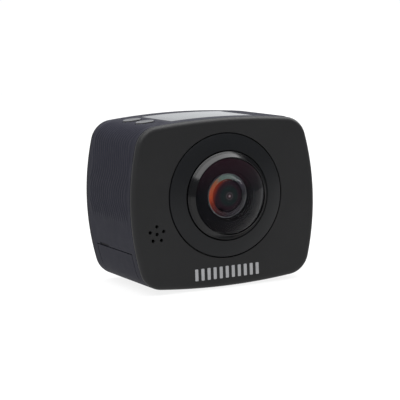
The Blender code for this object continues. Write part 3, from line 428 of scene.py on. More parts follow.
floor_radius = 0.9
floor_glow = 0.85
floor_front_glow = 0.25 * floor_glow
floor_dims_from = -0.12
floor_dims_to = -0.45
bpy.ops.object.select_all(action="DESELECT")
bpy.ops.mesh.primitive_circle_add(vertices=96, radius=floor_radius, fill_type="NGON")
floor = bpy.context.object
floor.name = "floor"
floor_glow_paint = bpy.data.materials.new("floor_glow_paint")
floor_glow_paint.use_nodes = True
floor_nodes = floor_glow_paint.node_tree.nodes
floor_wire = floor_glow_paint.node_tree.links.new
floor_shader = floor_nodes["Principled BSDF"]
floor_shader.inputs["Base Color"].default_value = (0.14, 0.14, 0.14, 1)
floor_shader.inputs["Roughness"].default_value = 0.9
floor_shader.inputs["Specular IOR Level"].default_value = 0.1
floor_shader.inputs["Emission Color"].default_value = (1, 1, 1, 1)
floor_place = floor_nodes.new("ShaderNodeTexCoord")
floor_parts = floor_nodes.new("ShaderNodeSeparateXYZ")
floor_wire(floor_place.outputs["Object"], floor_parts.inputs[0])
# painted light: the floor's own glow, strong behind and dim in front, stands for light falling off
# towards the front and fills in the shadow under the camera
floor_fade = remap(floor_nodes, floor_wire, floor_parts.outputs["Y"],
                   floor_dims_to, floor_dims_from, floor_front_glow, floor_glow)
floor_fade.interpolation_type = "SMOOTHSTEP"
floor_wire(floor_fade.outputs["Result"], floor_shader.inputs["Emission Strength"])
floor.data.materials.append(floor_glow_paint)
print("floor radius in m:", floor_radius)

# %% Bright surround
front_glow = 0.38
back_glow = 1.06
brightens_from = -0.1
brightens_to = 0.8
world = bpy.data.worlds.new("surround")
bpy.context.scene.world = world
world.use_nodes = True
sky = world.node_tree.nodes
sky_wire = world.node_tree.links.new
background = sky["Background"]
background.inputs["Color"].default_value = (0.95, 0.97, 1.0, 1)
sky_direction = sky.new("ShaderNodeTexCoord")
sky_parts = sky.new("ShaderNodeSeparateXYZ")
sky_wire(sky_direction.outputs["Generated"], sky_parts.inputs[0])
sky_ramp = remap(sky, sky_wire, sky_parts.outputs["Y"],
                 brightens_from, brightens_to, front_glow, back_glow)
sky_wire(sky_ramp.outputs["Result"], background.inputs["Strength"])
print("surround from", front_glow, "in front to", back_glow, "behind")


# %% Softboxes
def softbox(name, place, aim, size, watts):
    """A rectangular lamp at a place, turned to aim at a point."""
    lamp_data = bpy.data.lights.new(name, "AREA")
    lamp_data.shape = "RECTANGLE"
    lamp_data.size, lamp_data.size_y = size
    lamp_data.energy = watts
    lamp = bpy.data.objects.new(name, lamp_data)
    bpy.context.scene.collection.objects.link(lamp)
    lamp.location = place
    lamp.rotation_mode = "QUATERNION"
    lamp.rotation_quaternion = (Vector(aim) - Vector(place)).to_track_quat("-Z", "Y")
    return lamp


strip_start = Vector((-1.25, -0.6, 1.0))
strip_end = Vector((3.3, 1.3, 1.0))
strip_width = 0.8
strip_glow = 5.4
strip_run = strip_end - strip_start
strip_watts = strip_glow * math.pi * strip_run.length * strip_width
strip_place = (strip_start + strip_end) / 2
strip_size = (strip_run.length, strip_width)
strip = softbox("strip_overhead", strip_place, (0, 0, 0), strip_size, strip_watts)
strip_turn = Matrix.Rotation(math.atan2(strip_run.y, strip_run.x), 4, "Z")
strip.rotation_quaternion = strip_turn.to_quaternion()
fill_place = (-0.35, -1.1, 1.5)
fill_size = (0.7, 0.5)
fill_watts = 0.8
softbox("fill_front_left", fill_place, body_middle, fill_size, fill_watts)
print("strip softbox watts:", round(strip_watts, 1))

# %% [markdown]
# ## Finishes
# Moulded plastic is never one flat colour: the mould's spark-eroded grain breaks up the light, the
# tone drifts a little, and touched places turn glossier. So one helper builds a Principled shader
# whose colour drifts with a slow noise, whose roughness drifts with another, and whose surface has
# a fine bump. Raised edges can be given worn, paler paint through the mesh's pointiness, and hollows
# a painted shade, a darker colour laid where shade falls in them.

# %% Helpers: a noise, and a colour mixed over another
def noise(nodes, wire, place, scale, detail):
    """A noise that sits still on the piece."""
    node = nodes.new("ShaderNodeTexNoise")
    node.inputs["Scale"].default_value = scale
    node.inputs["Detail"].default_value = detail
    wire(place.outputs["Object"], node.inputs["Vector"])
    return node.outputs["Fac"]


def mixed_over(nodes, wire, under, over, share):
    """Mixes a plain colour over what lies beneath, by a share that another node gives."""
    node = nodes.new("ShaderNodeMix")
    node.data_type = "RGBA"
    node.inputs["B"].default_value = (*over, 1)
    wire(under, node.inputs["A"])
    wire(share, node.inputs["Factor"])
    return node.outputs["Result"]


def mesh_pointiness(nodes, wire, low, high):
    """0 to 1 as the mesh's pointiness goes from low to high: 0.5 is flat, more is raised."""
    shape = nodes.new("ShaderNodeNewGeometry")
    return remap(nodes, wire, shape.outputs["Pointiness"], low, high).outputs["Result"]


# %% Helper: a moulded or machined finish
raised_pointiness = (0.53, 0.66)
sunk_pointiness = (0.5, 0.43)
touch_scale = 2.3
widest_spread = 0.07


def finish(name, colour, roughness, metallic=0.0, specular=0.5, grain=0.25 * mm,
           depth=0.006 * mm, drift=0.12, patch=7 * mm, worn=None, hollow_shade=None):
    """A material with drifting tone and roughness, a fine grain and, if asked, worn edges and painted
    shade in hollows.
    """
    paint = bpy.data.materials.new(name)
    paint.use_nodes = True
    nodes = paint.node_tree.nodes
    wire = paint.node_tree.links.new
    shader = nodes["Principled BSDF"]
    shader.inputs["Metallic"].default_value = metallic
    shader.inputs["Specular IOR Level"].default_value = specular
    place = nodes.new("ShaderNodeTexCoord")

    slow = noise(nodes, wire, place, 1 / patch, 4)
    tone = nodes.new("ShaderNodeMix")
    tone.data_type = "RGBA"
    darker = [channel * (1 - drift) for channel in colour]
    lighter = [min(1, channel * (1 + drift)) for channel in colour]
    tone.inputs["A"].default_value = (*darker, 1)
    tone.inputs["B"].default_value = (*lighter, 1)
    wire(slow, tone.inputs["Factor"])
    colour_out = tone.outputs["Result"]
    if worn:
        rub = nodes.new("ShaderNodeMath")
        rub.operation = "MULTIPLY"
        wire(mesh_pointiness(nodes, wire, *raised_pointiness), rub.inputs[0])
        wire(slow, rub.inputs[1])
        colour_out = mixed_over(nodes, wire, colour_out, worn, rub.outputs["Value"])
    # painted shade: hollows are darkened by pointiness, standing for the shade that falls in them
    if hollow_shade:
        deep = mesh_pointiness(nodes, wire, *sunk_pointiness)
        colour_out = mixed_over(nodes, wire, colour_out, hollow_shade, deep)
    wire(colour_out, shader.inputs["Base Color"])

    touched = noise(nodes, wire, place, touch_scale / patch, 6)
    spread = min(widest_spread, 0.25 * roughness)
    rougher = min(1.0, roughness + spread)
    sheen = remap(nodes, wire, touched, 0.0, 1.0, roughness - spread, rougher)
    wire(sheen.outputs["Result"], shader.inputs["Roughness"])

    fine = noise(nodes, wire, place, 1 / grain, 3)
    bump = nodes.new("ShaderNodeBump")
    bump.inputs["Strength"].default_value = 1.0
    bump.inputs["Distance"].default_value = depth
    wire(fine, bump.inputs["Height"])
    wire(bump.outputs["Normal"], shader.inputs["Normal"])
    return paint


def wear(piece, paint, body="camera", stands_for=()):
    """Gives a piece its finish and its body, and hides the frame's parts that it stands for."""
    if not piece.data.materials:
        piece.data.materials.append(paint)
    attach(piece, body)
    if stands_for:
        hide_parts(*stands_for)
    return report(piece)


# %% Finishes of the housing
shell_black = finish("shell_black", (0.0125, 0.0125, 0.013), 0.5, specular=0.2,
                     grain=0.22 * mm, depth=0.008 * mm)
# the hollows between the grip's ribs get painted shade, a darker colour standing for the shade in
# them
grip_black = finish("grip_black", (0.014, 0.014, 0.021), 0.62, specular=0.07,
                    grain=0.3 * mm, depth=0.006 * mm,
                    worn=(0.06, 0.06, 0.08), hollow_shade=(0.003, 0.003, 0.005))
trim_black = finish("trim_black", (0.0055, 0.006, 0.007), 0.36, specular=0.2,
                    grain=0.18 * mm, depth=0.004 * mm)
ring_gloss = finish("ring_gloss", (0.003, 0.003, 0.0035), 0.16, specular=0.26,
                    grain=2 * mm, depth=0.0005 * mm, drift=0.3)
key_black = finish("key_black", (0.05, 0.05, 0.053), 0.42, specular=0.5,
                   grain=0.2 * mm, depth=0.005 * mm, worn=(0.1, 0.1, 0.1))
print("housing finishes made")

# %% [markdown]
# ## Face shells
# Each face is one moulding: a flat plate with a rounded rim, a round seat sunk for the lens
# surround, and a lip behind that enters the band. A ring of points is laid on the barrel outline,
# filled and pulled out to the plate's thickness, and only the outer rim is bevelled. The back is
# inset twice and pulled to raise the lip. Seat, lens hole and sound holes are then cut.

# %% Front face shell
outline_points = 320
rim_round = 1.5 * mm
rim_inset = 0.3 * mm
lip_length = 2.2 * mm
lip_thickness = 1.2 * mm
front_plane = -face
back_plane = cover_thickness - face


def lay_on_outline(piece, y):
    """Moves the ring of points of an open piece onto the barrel outline."""
    mesh = bmesh.from_edit_mesh(piece.data)
    mesh.verts.ensure_lookup_table()
    count = len(mesh.verts)
    for index, vert in enumerate(mesh.verts):
        x, z = outline_point(index / count)
        vert.co = (x, y, middle + z)
    bmesh.update_edit_mesh(piece.data)


bpy.ops.object.select_all(action="DESELECT")
bpy.ops.mesh.primitive_circle_add(vertices=outline_points, radius=half_width)
front_shell = bpy.context.object
front_shell.name = "front_shell"
bpy.ops.object.mode_set(mode="EDIT")
lay_on_outline(front_shell, back_plane)
bpy.ops.mesh.select_all(action="SELECT")
bpy.ops.mesh.edge_face_add()
bpy.ops.mesh.extrude_region_move(TRANSFORM_OT_translate={"value": (0, -cover_thickness, 0)})
pick_edges(
    front_shell,
    lambda one, two: max(abs(one.y - front_plane), abs(two.y - front_plane)) < tiny,
)
bpy.ops.mesh.bevel(offset=rim_round, segments=7, profile=0.5, affect="EDGES")
pick(front_shell, lambda place: abs(place.y - front_plane) < tiny)
bpy.ops.mesh.inset(thickness=rim_inset, depth=0)
pick(front_shell, lambda place: abs(place.y - back_plane) < tiny)
bpy.ops.mesh.inset(thickness=wall + gap, depth=0)
bpy.ops.mesh.extrude_region_move(TRANSFORM_OT_translate={"value": (0, lip_length, 0)})
bpy.ops.mesh.inset(thickness=lip_thickness, depth=0)
bpy.ops.mesh.extrude_region_move(TRANSFORM_OT_translate={"value": (0, -lip_length, 0)})
close_edit()
tidy_mesh(front_shell)
report(front_shell)

# %% Seat and lens hole
ring_gap = 0.25 * mm
seat_floor = Vector((0, surround_high.y + gap, lens_height))
lens_inside = Vector((0, 0, lens_height))
lens_outside = Vector((0, -face - wall, lens_height))
seat_tool = bar("seat_tool", seat_floor, lens_outside, surround_radius + ring_gap, 128)
boolean(front_shell, seat_tool)
lens_tool = bar("lens_tool", lens_inside, lens_outside, bezel_radius + gap, 128)
boolean(front_shell, lens_tool)
rear_shell = turned_copy(front_shell, "rear_shell")
print("seat's depth in mm:", round((seat_floor.y + face) / mm, 2))

# %% Sound holes, small roundings and finish
sound_centre = Vector((-22.6 * mm, 0, middle - 7.2 * mm))
sound_ring = 2.25 * mm
sound_radius = 0.5 * mm
sound_count = 5
sound_places = [sound_centre]
for index in range(sound_count):
    angle = math.pi / 2 + 2 * math.pi * index / sound_count
    sound_places.append(sound_centre + sound_ring * Vector((math.cos(angle), 0, math.sin(angle))))
drills = []
for index, spot in enumerate(sound_places):
    start = spot + Vector((0, -face - wall, 0))
    drills.append(bar(f"drill_{index}", start, start + Vector((0, 3 * wall, 0)), sound_radius, 24))
boolean(front_shell, joined("drills", drills))
shell_rounding = 0.12 * mm
for shell in (front_shell, rear_shell):
    round_edges(shell, shell_rounding, 2, 60)
    keep_flat(smooth(shell, 35))
wear(front_shell, shell_black, "camera", ["front_cover"])
wear(rear_shell, shell_black, "camera", ["rear_cover"])

# %% [markdown]
# ## Grip band
# The band between the faces is a softer moulding with fine wavy ribs on the upper sides and
# shoulders, where the fingers hold, and a smooth lower half. A flat grid is rolled round the
# outline, with four rows of points to each rib. The rows are swung to and fro as a wave, the sheet
# is given its wall, and a Displace modifier lifts the crests by the weight of a vertex group.

# %% Roll the sheet and lay the wave
rib_pitch = 1.6 * mm
rib_height = 0.18 * mm
rib_swing = 1.4 * mm
rib_wave = 15.0 * mm
rib_run_out = 3.2 * mm
rib_margin = 14.2 * mm
rib_margin_fade = 0.5 * mm
rib_foot = 5.0 * mm
rib_foot_fade = 3.0 * mm
rib_window_side = 15.0 * mm
rib_window_fade = 0.8 * mm
columns = 260
rows_of_rib = 4
rows = rows_of_rib * round(2 * band_edge / rib_pitch)


def ease(value):
    """0 to 1 with a soft start and a soft end."""
    value = max(0.0, min(1.0, value))
    return value * value * (3 - 2 * value)


def ribbed(x, y, z):
    """How strongly the ribs stand at a place: 1 on upper sides and shoulders, fading to 0."""
    above_foot = ease((z - middle + rib_foot) / rib_foot_fade)
    off_window = ease((abs(x) - rib_window_side) / rib_window_fade)
    off_rim = ease((rib_margin - abs(y)) / rib_margin_fade)
    return above_foot * off_window * off_rim


def rolled_sheet(name, columns, rows, start, end, swing=0.0):
    """A grid rolled round the outline from one depth to another, with the weight of its ribs."""
    bpy.ops.object.select_all(action="DESELECT")
    bpy.ops.mesh.primitive_grid_add(x_subdivisions=columns, y_subdivisions=rows, size=1.0)
    sheet = bpy.context.object
    sheet.name = name
    crest = sheet.vertex_groups.new(name="crest")
    waves = round(4 * quarter_run / rib_wave)
    for vert in sheet.data.vertices:
        share = vert.co.x + 0.5
        across = vert.co.y + 0.5
        x, z = outline_point(share)
        slack = ease(min(across, 1 - across) * (end - start) / rib_run_out)
        y = start + (end - start) * across + swing * slack * math.sin(2 * math.pi * share * waves)
        rib_share = round(across * rows) / rows_of_rib
        rise = 0.5 - 0.5 * math.cos(2 * math.pi * rib_share)
        vert.co = (x, y, middle + z)
        if swing:
            crest.add([vert.index], rise * ribbed(x, y, middle + z), "REPLACE")
    tidy_mesh(sheet)
    return sheet


def give_wall(sheet):
    """Turns the rolled sheet outwards and gives it the housing's wall on its inner side."""
    outwards = sum(
        polygon.normal.x * polygon.center.x + polygon.normal.z * (polygon.center.z - middle)
        for polygon in sheet.data.polygons
    )
    if outwards < 0:
        edit(sheet)
        bpy.ops.mesh.select_all(action="SELECT")
        bpy.ops.mesh.flip_normals()
        close_edit()
    inside = sheet.vertex_groups.new(name="inside")
    solid = sheet.modifiers.new("wall", "SOLIDIFY")
    solid.thickness = wall
    solid.offset = -1
    solid.shell_vertex_group = inside.name
    return settle(sheet)


# %% Lift the ribs
ribbed_sheet = rolled_sheet("grip_band", columns, rows, -band_edge, band_edge, rib_swing)
grip_band = give_wall(ribbed_sheet)
inside = grip_band.vertex_groups["inside"].index
inner_points = [
    vert.index for vert in grip_band.data.vertices
    if any(member.group == inside and member.weight > 0.5 for member in vert.groups)
]
grip_band.vertex_groups["crest"].remove(inner_points)
lift = grip_band.modifiers.new("rib lift", "DISPLACE")
lift.vertex_group = "crest"
lift.mid_level = 0.0
lift.strength = rib_height
settle(grip_band)
print("rows of points:", rows, "inner points:", len(inner_points))

# %% Where the openings of the band are
seam = 0.35 * mm
door_seam = door_high.x + seam
usb_low, usb_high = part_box("usb_port")
hdmi_low, hdmi_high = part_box("hdmi_port")
plate_low, plate_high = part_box("base_plate")
margin = Vector((gap, gap, gap))
far = 80 * mm
button_x = -19.2 * mm
button_radius = 2.7 * mm
power_low, power_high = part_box("power_button")
mode_low, mode_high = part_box("mode_button")
button_depths = {
    "power_button": (power_low.y + power_high.y) / 2,
    "mode_button": (mode_low.y + mode_high.y) / 2,
}


def button_frame(depth):
    """The place and tilt of a button's middle on the roof, with Z square to the roof there."""
    tilt = math.asin(button_x / top_arc)
    return Matrix.Translation((button_x, depth, roof(button_x))) @ Matrix.Rotation(tilt, 4, "Y")


def button_hole(depth, radius):
    """A drill through the roof at a button, square to the roof."""
    below = button_frame(depth) @ Vector((0, 0, -2 * wall))
    above = button_frame(depth) @ Vector((0, 0, wall))
    return bar("button_hole", below, above, radius)


print("roof above the buttons in mm:", round(roof(button_x) / mm, 2))

# %% Cut the openings of the band
first_tools = [
    block(
        "door_opening",
        (-far, door_low.y - gap, -far),
        (door_seam, door_high.y + gap, door_high.z + gap),
    ),
    block(
        "window_pocket",
        (window_low.x - gap, window_low.y - gap, window_low.z - gap / 3),
        (window_high.x + gap, window_high.y + gap, far),
    ),
    block("base_recess", (plate_low.x - gap, plate_low.y - gap, -far), plate_high + margin),
    block("usb_opening", usb_low - margin, (far, usb_high.y + gap, usb_high.z + gap)),
    block("hdmi_opening", hdmi_low - margin, (far, hdmi_high.y + gap, hdmi_high.z + gap)),
]
first_tools += [button_hole(depth, button_radius + gap) for depth in button_depths.values()]
boolean(grip_band, joined("first_tools", first_tools))
ledge = 2.0 * mm
notch_from = 3.5 * mm
notch_to = 10.0 * mm
notch_height = 0.6 * mm
notch_depth = 1.3 * mm
insert_hole_radius = 4.9 * mm
second_tools = [
    block(
        "window_view",
        (window_low.x + ledge, window_low.y + ledge, middle),
        (window_high.x - ledge, window_high.y - ledge, far),
    ),
    block(
        "finger_notch",
        (-far, notch_from, door_high.z),
        (notch_depth - half_width, notch_to, door_high.z + gap + notch_height),
    ),
    bar("insert_hole", (0, 0, -wall), (0, 0, 3 * wall), insert_hole_radius, 64),
]
boolean(grip_band, joined("second_tools", second_tools))
smooth(grip_band, 33)
wear(grip_band, grip_black, "camera", ["side_band"])

# %% [markdown]
# ## Corner door
# The battery door is a piece of the band's own wall that wraps the lower left corner. It is cut
# from the same rolled sheet, so that its skin continues the band's. A round barrel along its lower
# edge takes the hinge pin. All its edges are rounded a little, which draws the dark seam around it.

# %% Door
slack = 0.05 * mm
pin_bore_radius = 0.65 * mm
door_rounding = 0.15 * mm
corner_door = give_wall(rolled_sheet("corner_door", 320, 2, door_low.y, door_high.y))
door_end = (door_high.x - wall / 2 + slack, far, door_high.z)
boolean(corner_door, block("door_region", (-far, -far, -far), door_end), "INTERSECT")
hinge_x = -12.3 * mm
hinge_z = 2 * middle - roof(hinge_x) + wall / 2
hinge_line = [Vector((hinge_x, depth, hinge_z)) for depth in (door_low.y, door_high.y)]
boolean(corner_door, bar("door_barrel", *hinge_line, wall / 2 - slack, 40), "UNION")
beyond = Vector((0, wall, 0))
bore_line = [hinge_line[0] - beyond, hinge_line[1] + beyond]
boolean(corner_door, bar("pin_bore", *bore_line, pin_bore_radius, 24))
round_edges(corner_door, door_rounding, 2, 60)
smooth(corner_door, 35, weighted=True)
wear(corner_door, grip_black, "battery_door", ["battery_door"])

# %% [markdown]
# ## Lens surround and glossy ring
# Around each lens lies a shallow satin cone, and inside it a glossy black ring with the fine steps
# that stop stray light. Both are turned sections. The ring's slope is what catches the strip
# softbox as a pale crescent, so its face is straight and its steps are only shallow.

# %% Lens surround
surround_bore = bezel_radius + ring_gap
surround_drop = 0.9 * mm
front_surround = face_forward(turn("front_surround", [
    (surround_bore, surround_rise - 0.12 * mm),
    (surround_bore + 0.12 * mm, surround_rise),
    (surround_bore + 0.5 * mm, surround_rise - 0.05 * mm),
    (surround_radius - 0.45 * mm, 0.18 * mm),
    (surround_radius - 0.12 * mm, 0.0),
    (surround_radius, -0.22 * mm),
    (surround_radius, -surround_drop),
    (surround_bore, -surround_drop),
], 128))
smooth(front_surround, 30)
print("surround radii in mm:", round(surround_bore / mm, 2), round(surround_radius / mm, 2))

# %% The glossy ring's slope, with its grooves
dome_seat = dome_radius + gap
bezel_foot = surround_rise + 0.25 * mm
groove_half = 0.05 * mm
groove_depth = 0.05 * mm
grooves_on_slope = 2
grooves_from = 0.72
slope = [(dome_seat, bezel_rise - 0.06 * mm), (dome_seat + 0.08 * mm, bezel_rise)]
slope_start = Vector((dome_seat + 0.22 * mm, bezel_rise - 0.1 * mm))
slope_end = Vector((bezel_radius - 0.04 * mm, bezel_foot))
along_slope = (slope_end - slope_start).normalized()
into_slope = Vector((along_slope.y, -along_slope.x))
slope.append(tuple(slope_start))
for index in range(grooves_on_slope):
    share = grooves_from + (1 - grooves_from) * index / grooves_on_slope
    groove = slope_start.lerp(slope_end, share)
    slope.append(tuple(groove - groove_half * along_slope))
    slope.append(tuple(groove + groove_depth * into_slope))
    slope.append(tuple(groove + groove_half * along_slope))
slope.append(tuple(slope_end))
print("points along the slope:", len(slope))

# %% Turn the glossy ring and make the rear twins
ring_inner = 9.9 * mm
ring_base = -3.0 * mm
ring_ledge = bezel_rise - 1.8 * mm
front_ring = face_forward(turn("front_glossy_ring", slope + [
    (bezel_radius, bezel_foot - 0.25 * mm),
    (bezel_radius, ring_base),
    (ring_inner, ring_base),
    (ring_inner, ring_ledge),
    (dome_seat, ring_ledge),
], 160))
smooth(front_ring, 15)
for piece, paint, slot_name, name in (
    (front_surround, trim_black, "trim", "lens_surround"),
    (front_ring, ring_gloss, "gloss", "bezel_ring"),
):
    rear = turned_copy(piece, piece.name.replace("front", "rear"))
    wear(piece, paint, "camera", [f"front_{name}"])
    wear(rear, paint, "camera", [f"rear_{name}"])

# %% [markdown]
# ## Lens glass
# A fisheye's first element bulges in front and is deeply hollowed behind, and the hollow's edge is
# the ring one sees inside the lens. Behind it sit a stepped black barrel mouth, a thin retaining
# ring and a second, smaller coated element. The glass is modelled as a real closed solid, because
# the renderer bends light at both its faces.

# %% Front element
hollow_radius = 8.0 * mm
glass_edge = 1.5 * mm
glass_middle = 1.2 * mm
glass_back = bezel_rise - glass_edge
hollow_top = dome_rise - glass_middle
hollow_centre = hollow_top - hollow_radius
hollow_reach = math.acos((glass_back - hollow_centre) / hollow_radius)
hollow_steps = 16
hollow = []
for index in range(hollow_steps + 1):
    angle = hollow_reach * index / hollow_steps
    height = hollow_centre + hollow_radius * math.cos(angle)
    hollow.append((hollow_radius * math.sin(angle), height))
bulge = cap(dome_radius, dome_rise - bezel_rise, bezel_rise, 20)
glass_section = hollow + [(dome_radius, glass_back)] + bulge
front_glass = face_forward(turn("front_dome_glass", glass_section, 128))
smooth(front_glass, 40)
near_rim = dome_radius - 0.2 * mm
near_back = glass_back + 0.1 * mm
edge_faces = []
for polygon in front_glass.data.polygons:
    rise = -polygon.center.y - face
    radius = math.hypot(polygon.center.x, polygon.center.z - lens_height)
    on_rim = rise < bezel_rise and radius > near_rim
    on_back = abs(polygon.normal.y) > 0.99 and rise < near_back
    if on_rim or on_back:
        edge_faces.append(polygon.index)
print("hollow edge radius in mm:", round(hollow[-1][0] / mm, 2))

# %% Barrel with a stepped mouth
mouth_radius = 9.6 * mm
mouth_top = glass_back - 0.35 * mm
mouth_bore = 6.75 * mm
mouth_steps = 5
step_rise = 0.1 * mm
step_tilt = 0.03 * mm
step_undercut = 0.06 * mm
step_width = (mouth_radius - mouth_bore) / mouth_steps
mouth = []
for index in range(mouth_steps):
    radius = mouth_bore + step_width * index
    height = mouth_top - step_rise * (mouth_steps - index)
    mouth.append((radius, height))
    mouth.append((radius + step_width - step_undercut, height + step_tilt))
barrel_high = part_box("front_lens_barrel")[1]
barrel_foot = -(barrel_high.y + face)
shoulder = -5.0 * mm
thread_radius = 7.0 * mm
barrel_bore = 4.2 * mm
lens_seat = -1.3 * mm
front_barrel = face_forward(turn("front_barrel", mouth + [
    (mouth_radius, mouth_top),
    (mouth_radius, shoulder),
    (thread_radius, shoulder),
    (thread_radius, barrel_foot),
    (barrel_bore, barrel_foot),
    (barrel_bore, lens_seat),
    (mouth_bore, lens_seat),
], 96))
smooth(front_barrel, 30)
print("steps in the barrel's mouth:", mouth_steps)

# %% Retaining ring, its pale lip and the second element
ring_foot = 0.2 * mm
retainer_bore = 5.15 * mm
retainer_radius = 6.4 * mm
front_retainer = face_forward(turn("front_retaining_ring", [
    (retainer_bore, 0.9 * mm),
    (retainer_bore + 0.1 * mm, 1.05 * mm),
    (retainer_radius, 1.48 * mm),
    (retainer_radius, ring_foot),
    (retainer_radius - 0.1 * mm, ring_foot),
    (retainer_bore + 0.55 * mm, 0.5 * mm),
], 96))
smooth(front_retainer, 30)

lip_bore = 6.45 * mm
lip_radius = 6.68 * mm
lip_top = 1.52 * mm
lip_shoulder = 1.4 * mm
front_lip = face_forward(turn("front_lens_lip", [
    (lip_bore, lip_shoulder),
    (lip_bore + 0.05 * mm, lip_top),
    (lip_radius - 0.06 * mm, lip_top),
    (lip_radius, lip_shoulder),
    (lip_radius, ring_foot),
    (lip_bore, ring_foot),
], 96))
smooth(front_lip, 30)

second_radius = 6.2 * mm
second_rim = -0.2 * mm
second_rise = 2.1 * mm
second_back = -1.2 * mm
second_section = [(0.0, second_back), (second_radius, second_back)]
second_section += cap(second_radius, second_rise, second_rim, 16)
front_element = face_forward(turn("front_second_element", second_section, 96))
smooth(front_element, 40)
print("second element's top above the face in mm:", round((second_rim + second_rise) / mm, 2))


# %% [markdown]
# ## Lens coatings and their painted reflections
# Coated glass mirrors little, and tints what it does mirror: greenish above, orange at the left,
# and a warm crescent deep in the second element. On the real one those colours come from many thin
# layers, which the renderer doesn't know. So the front glass is clear with its mirror taken down,
# and those tinted reflections are painted on the parts behind it by their place round the lens
# axis, with a pale painted highlight in the middle of the second element. The black parts get a
# faint painted glow of their own, which stands for light strayed in the glass.

# %% Coated glass
glass_bend = 1.25
glass_smear = 0.02


def clear_glass(name, tint, smudge):
    """Clear glass whose coating takes its mirror away, except at a glancing angle."""
    glass = finish(name, tint, 0.02, specular=0.05, grain=4 * mm, depth=0.0002 * mm,
                   drift=0.0, patch=smudge)
    shader = glass.node_tree.nodes["Principled BSDF"]
    shader.inputs["Transmission Weight"].default_value = 1.0
    shader.inputs["IOR"].default_value = glass_bend
    shader.inputs["Specular Tint"].default_value = (0, 0, 0, 1)
    sheen = shader.inputs["Roughness"].links[0].from_node
    sheen.inputs["To Min"].default_value = 0.0
    sheen.inputs["To Max"].default_value = glass_smear
    glass.node_tree.links.remove(shader.inputs["Normal"].links[0])
    return glass


dome_glass = clear_glass("dome_glass", (1.0, 1.0, 1.0), 9 * mm)
print("glass bends light by", glass_bend)


# %% Helpers: a ramp of colours, and the distance from an axis
def colour_ramp(nodes, wire, share, stops):
    """Colours at shares from 0 to 1, and smooth changes between them."""
    node = nodes.new("ShaderNodeValToRGB")
    band = node.color_ramp
    for end, (position, colour) in zip(band.elements, (stops[0], stops[-1])):
        end.position = position
        end.color = (*colour, 1)
    for position, colour in stops[1:-1]:
        band.elements.new(position).color = (*colour, 1)
    wire(share, node.inputs["Fac"])
    return node.outputs["Color"]


def reach_from(nodes, wire, x, z):
    """How far a place is from the line along Y through this X and height."""
    place = nodes.new("ShaderNodeTexCoord")
    centred = nodes.new("ShaderNodeMapping")
    centred.inputs["Location"].default_value = (-x, 0, -z)
    centred.inputs["Scale"].default_value = (1, 0, 1)
    wire(place.outputs["Object"], centred.inputs["Vector"])
    reach = nodes.new("ShaderNodeVectorMath")
    reach.operation = "LENGTH"
    wire(centred.outputs["Vector"], reach.inputs[0])
    return reach.outputs["Value"]


# %% Painted reflections on the retaining ring: their colours go round the axis
# painted reflection: orange at the left and greenish above, standing for what the coating mirrors
rim_reflection_colours = [
    (0.0, (0.42, 0.06, 0.02)),
    (0.06, (0.16, 0.02, 0.012)),
    (0.13, (0.04, 0.012, 0.014)),
    (0.25, (0.015, 0.01, 0.016)),
    (0.50, (0.008, 0.010, 0.012)),
    (0.62, (0.04, 0.035, 0.05)),
    (0.72, (0.09, 0.13, 0.12)),
    (0.82, (0.11, 0.17, 0.15)),
    (0.87, (0.34, 0.12, 0.06)),
    (1.0, (0.42, 0.06, 0.02)),
]


def rim_with_painted_reflections(name, base):
    """A dark base with the coating's reflections painted over it, each colour at its own angle."""
    paint = finish(name, base, 0.5, specular=0.03, grain=2 * mm, depth=0.0003 * mm, drift=0.2)
    nodes = paint.node_tree.nodes
    wire = paint.node_tree.links.new
    shader = nodes["Principled BSDF"]
    tone = shader.inputs["Base Color"].links[0].from_socket
    place = nodes.new("ShaderNodeTexCoord")
    centred = nodes.new("ShaderNodeMapping")
    centred.inputs["Location"].default_value = (0, 0, -lens_height)
    wire(place.outputs["Object"], centred.inputs["Vector"])
    parts = nodes.new("ShaderNodeSeparateXYZ")
    wire(centred.outputs["Vector"], parts.inputs[0])
    around = nodes.new("ShaderNodeMath")
    around.operation = "ARCTAN2"
    wire(parts.outputs["Z"], around.inputs[0])
    wire(parts.outputs["X"], around.inputs[1])
    share = remap(nodes, wire, around.outputs["Value"], -math.pi, math.pi)
    blend = nodes.new("ShaderNodeMix")
    blend.data_type = "RGBA"
    blend.inputs["Factor"].default_value = 0.9
    wire(tone, blend.inputs["A"])
    wire(colour_ramp(nodes, wire, share.outputs["Result"], rim_reflection_colours), blend.inputs["B"])
    wire(blend.outputs["Result"], shader.inputs["Base Color"])
    return paint


rim_reflection_paint = rim_with_painted_reflections("rim_reflection_paint", (0.05, 0.05, 0.06))
print("colours round the rim:", len(rim_reflection_colours))

# %% Second element: painted reflections, dim rings about the axis, a pale painted highlight in the middle and a warm crescent
# painted reflections: the pale middle stop is a painted highlight, and the rings and the crescent
# below stand for what the coated element mirrors
element_reflection_colours = [
    (0.0, (0.42, 0.38, 0.40)),
    (0.05, (0.12, 0.09, 0.10)),
    (0.10, (0.02, 0.012, 0.014)),
    (0.17, (0.05, 0.045, 0.05)),
    (0.22, (0.014, 0.016, 0.017)),
    (0.40, (0.009, 0.018, 0.018)),
    (0.62, (0.022, 0.010, 0.016)),
    (0.80, (0.012, 0.010, 0.014)),
    (1.0, (0.006, 0.004, 0.006)),
]
crescent_aside = 1.5 * mm
crescent_below = 1.1 * mm
crescent_from = 5.6 * mm
crescent_full = 8.0 * mm
crescent_reflection_colour = (0.6, 0.07, 0.02)


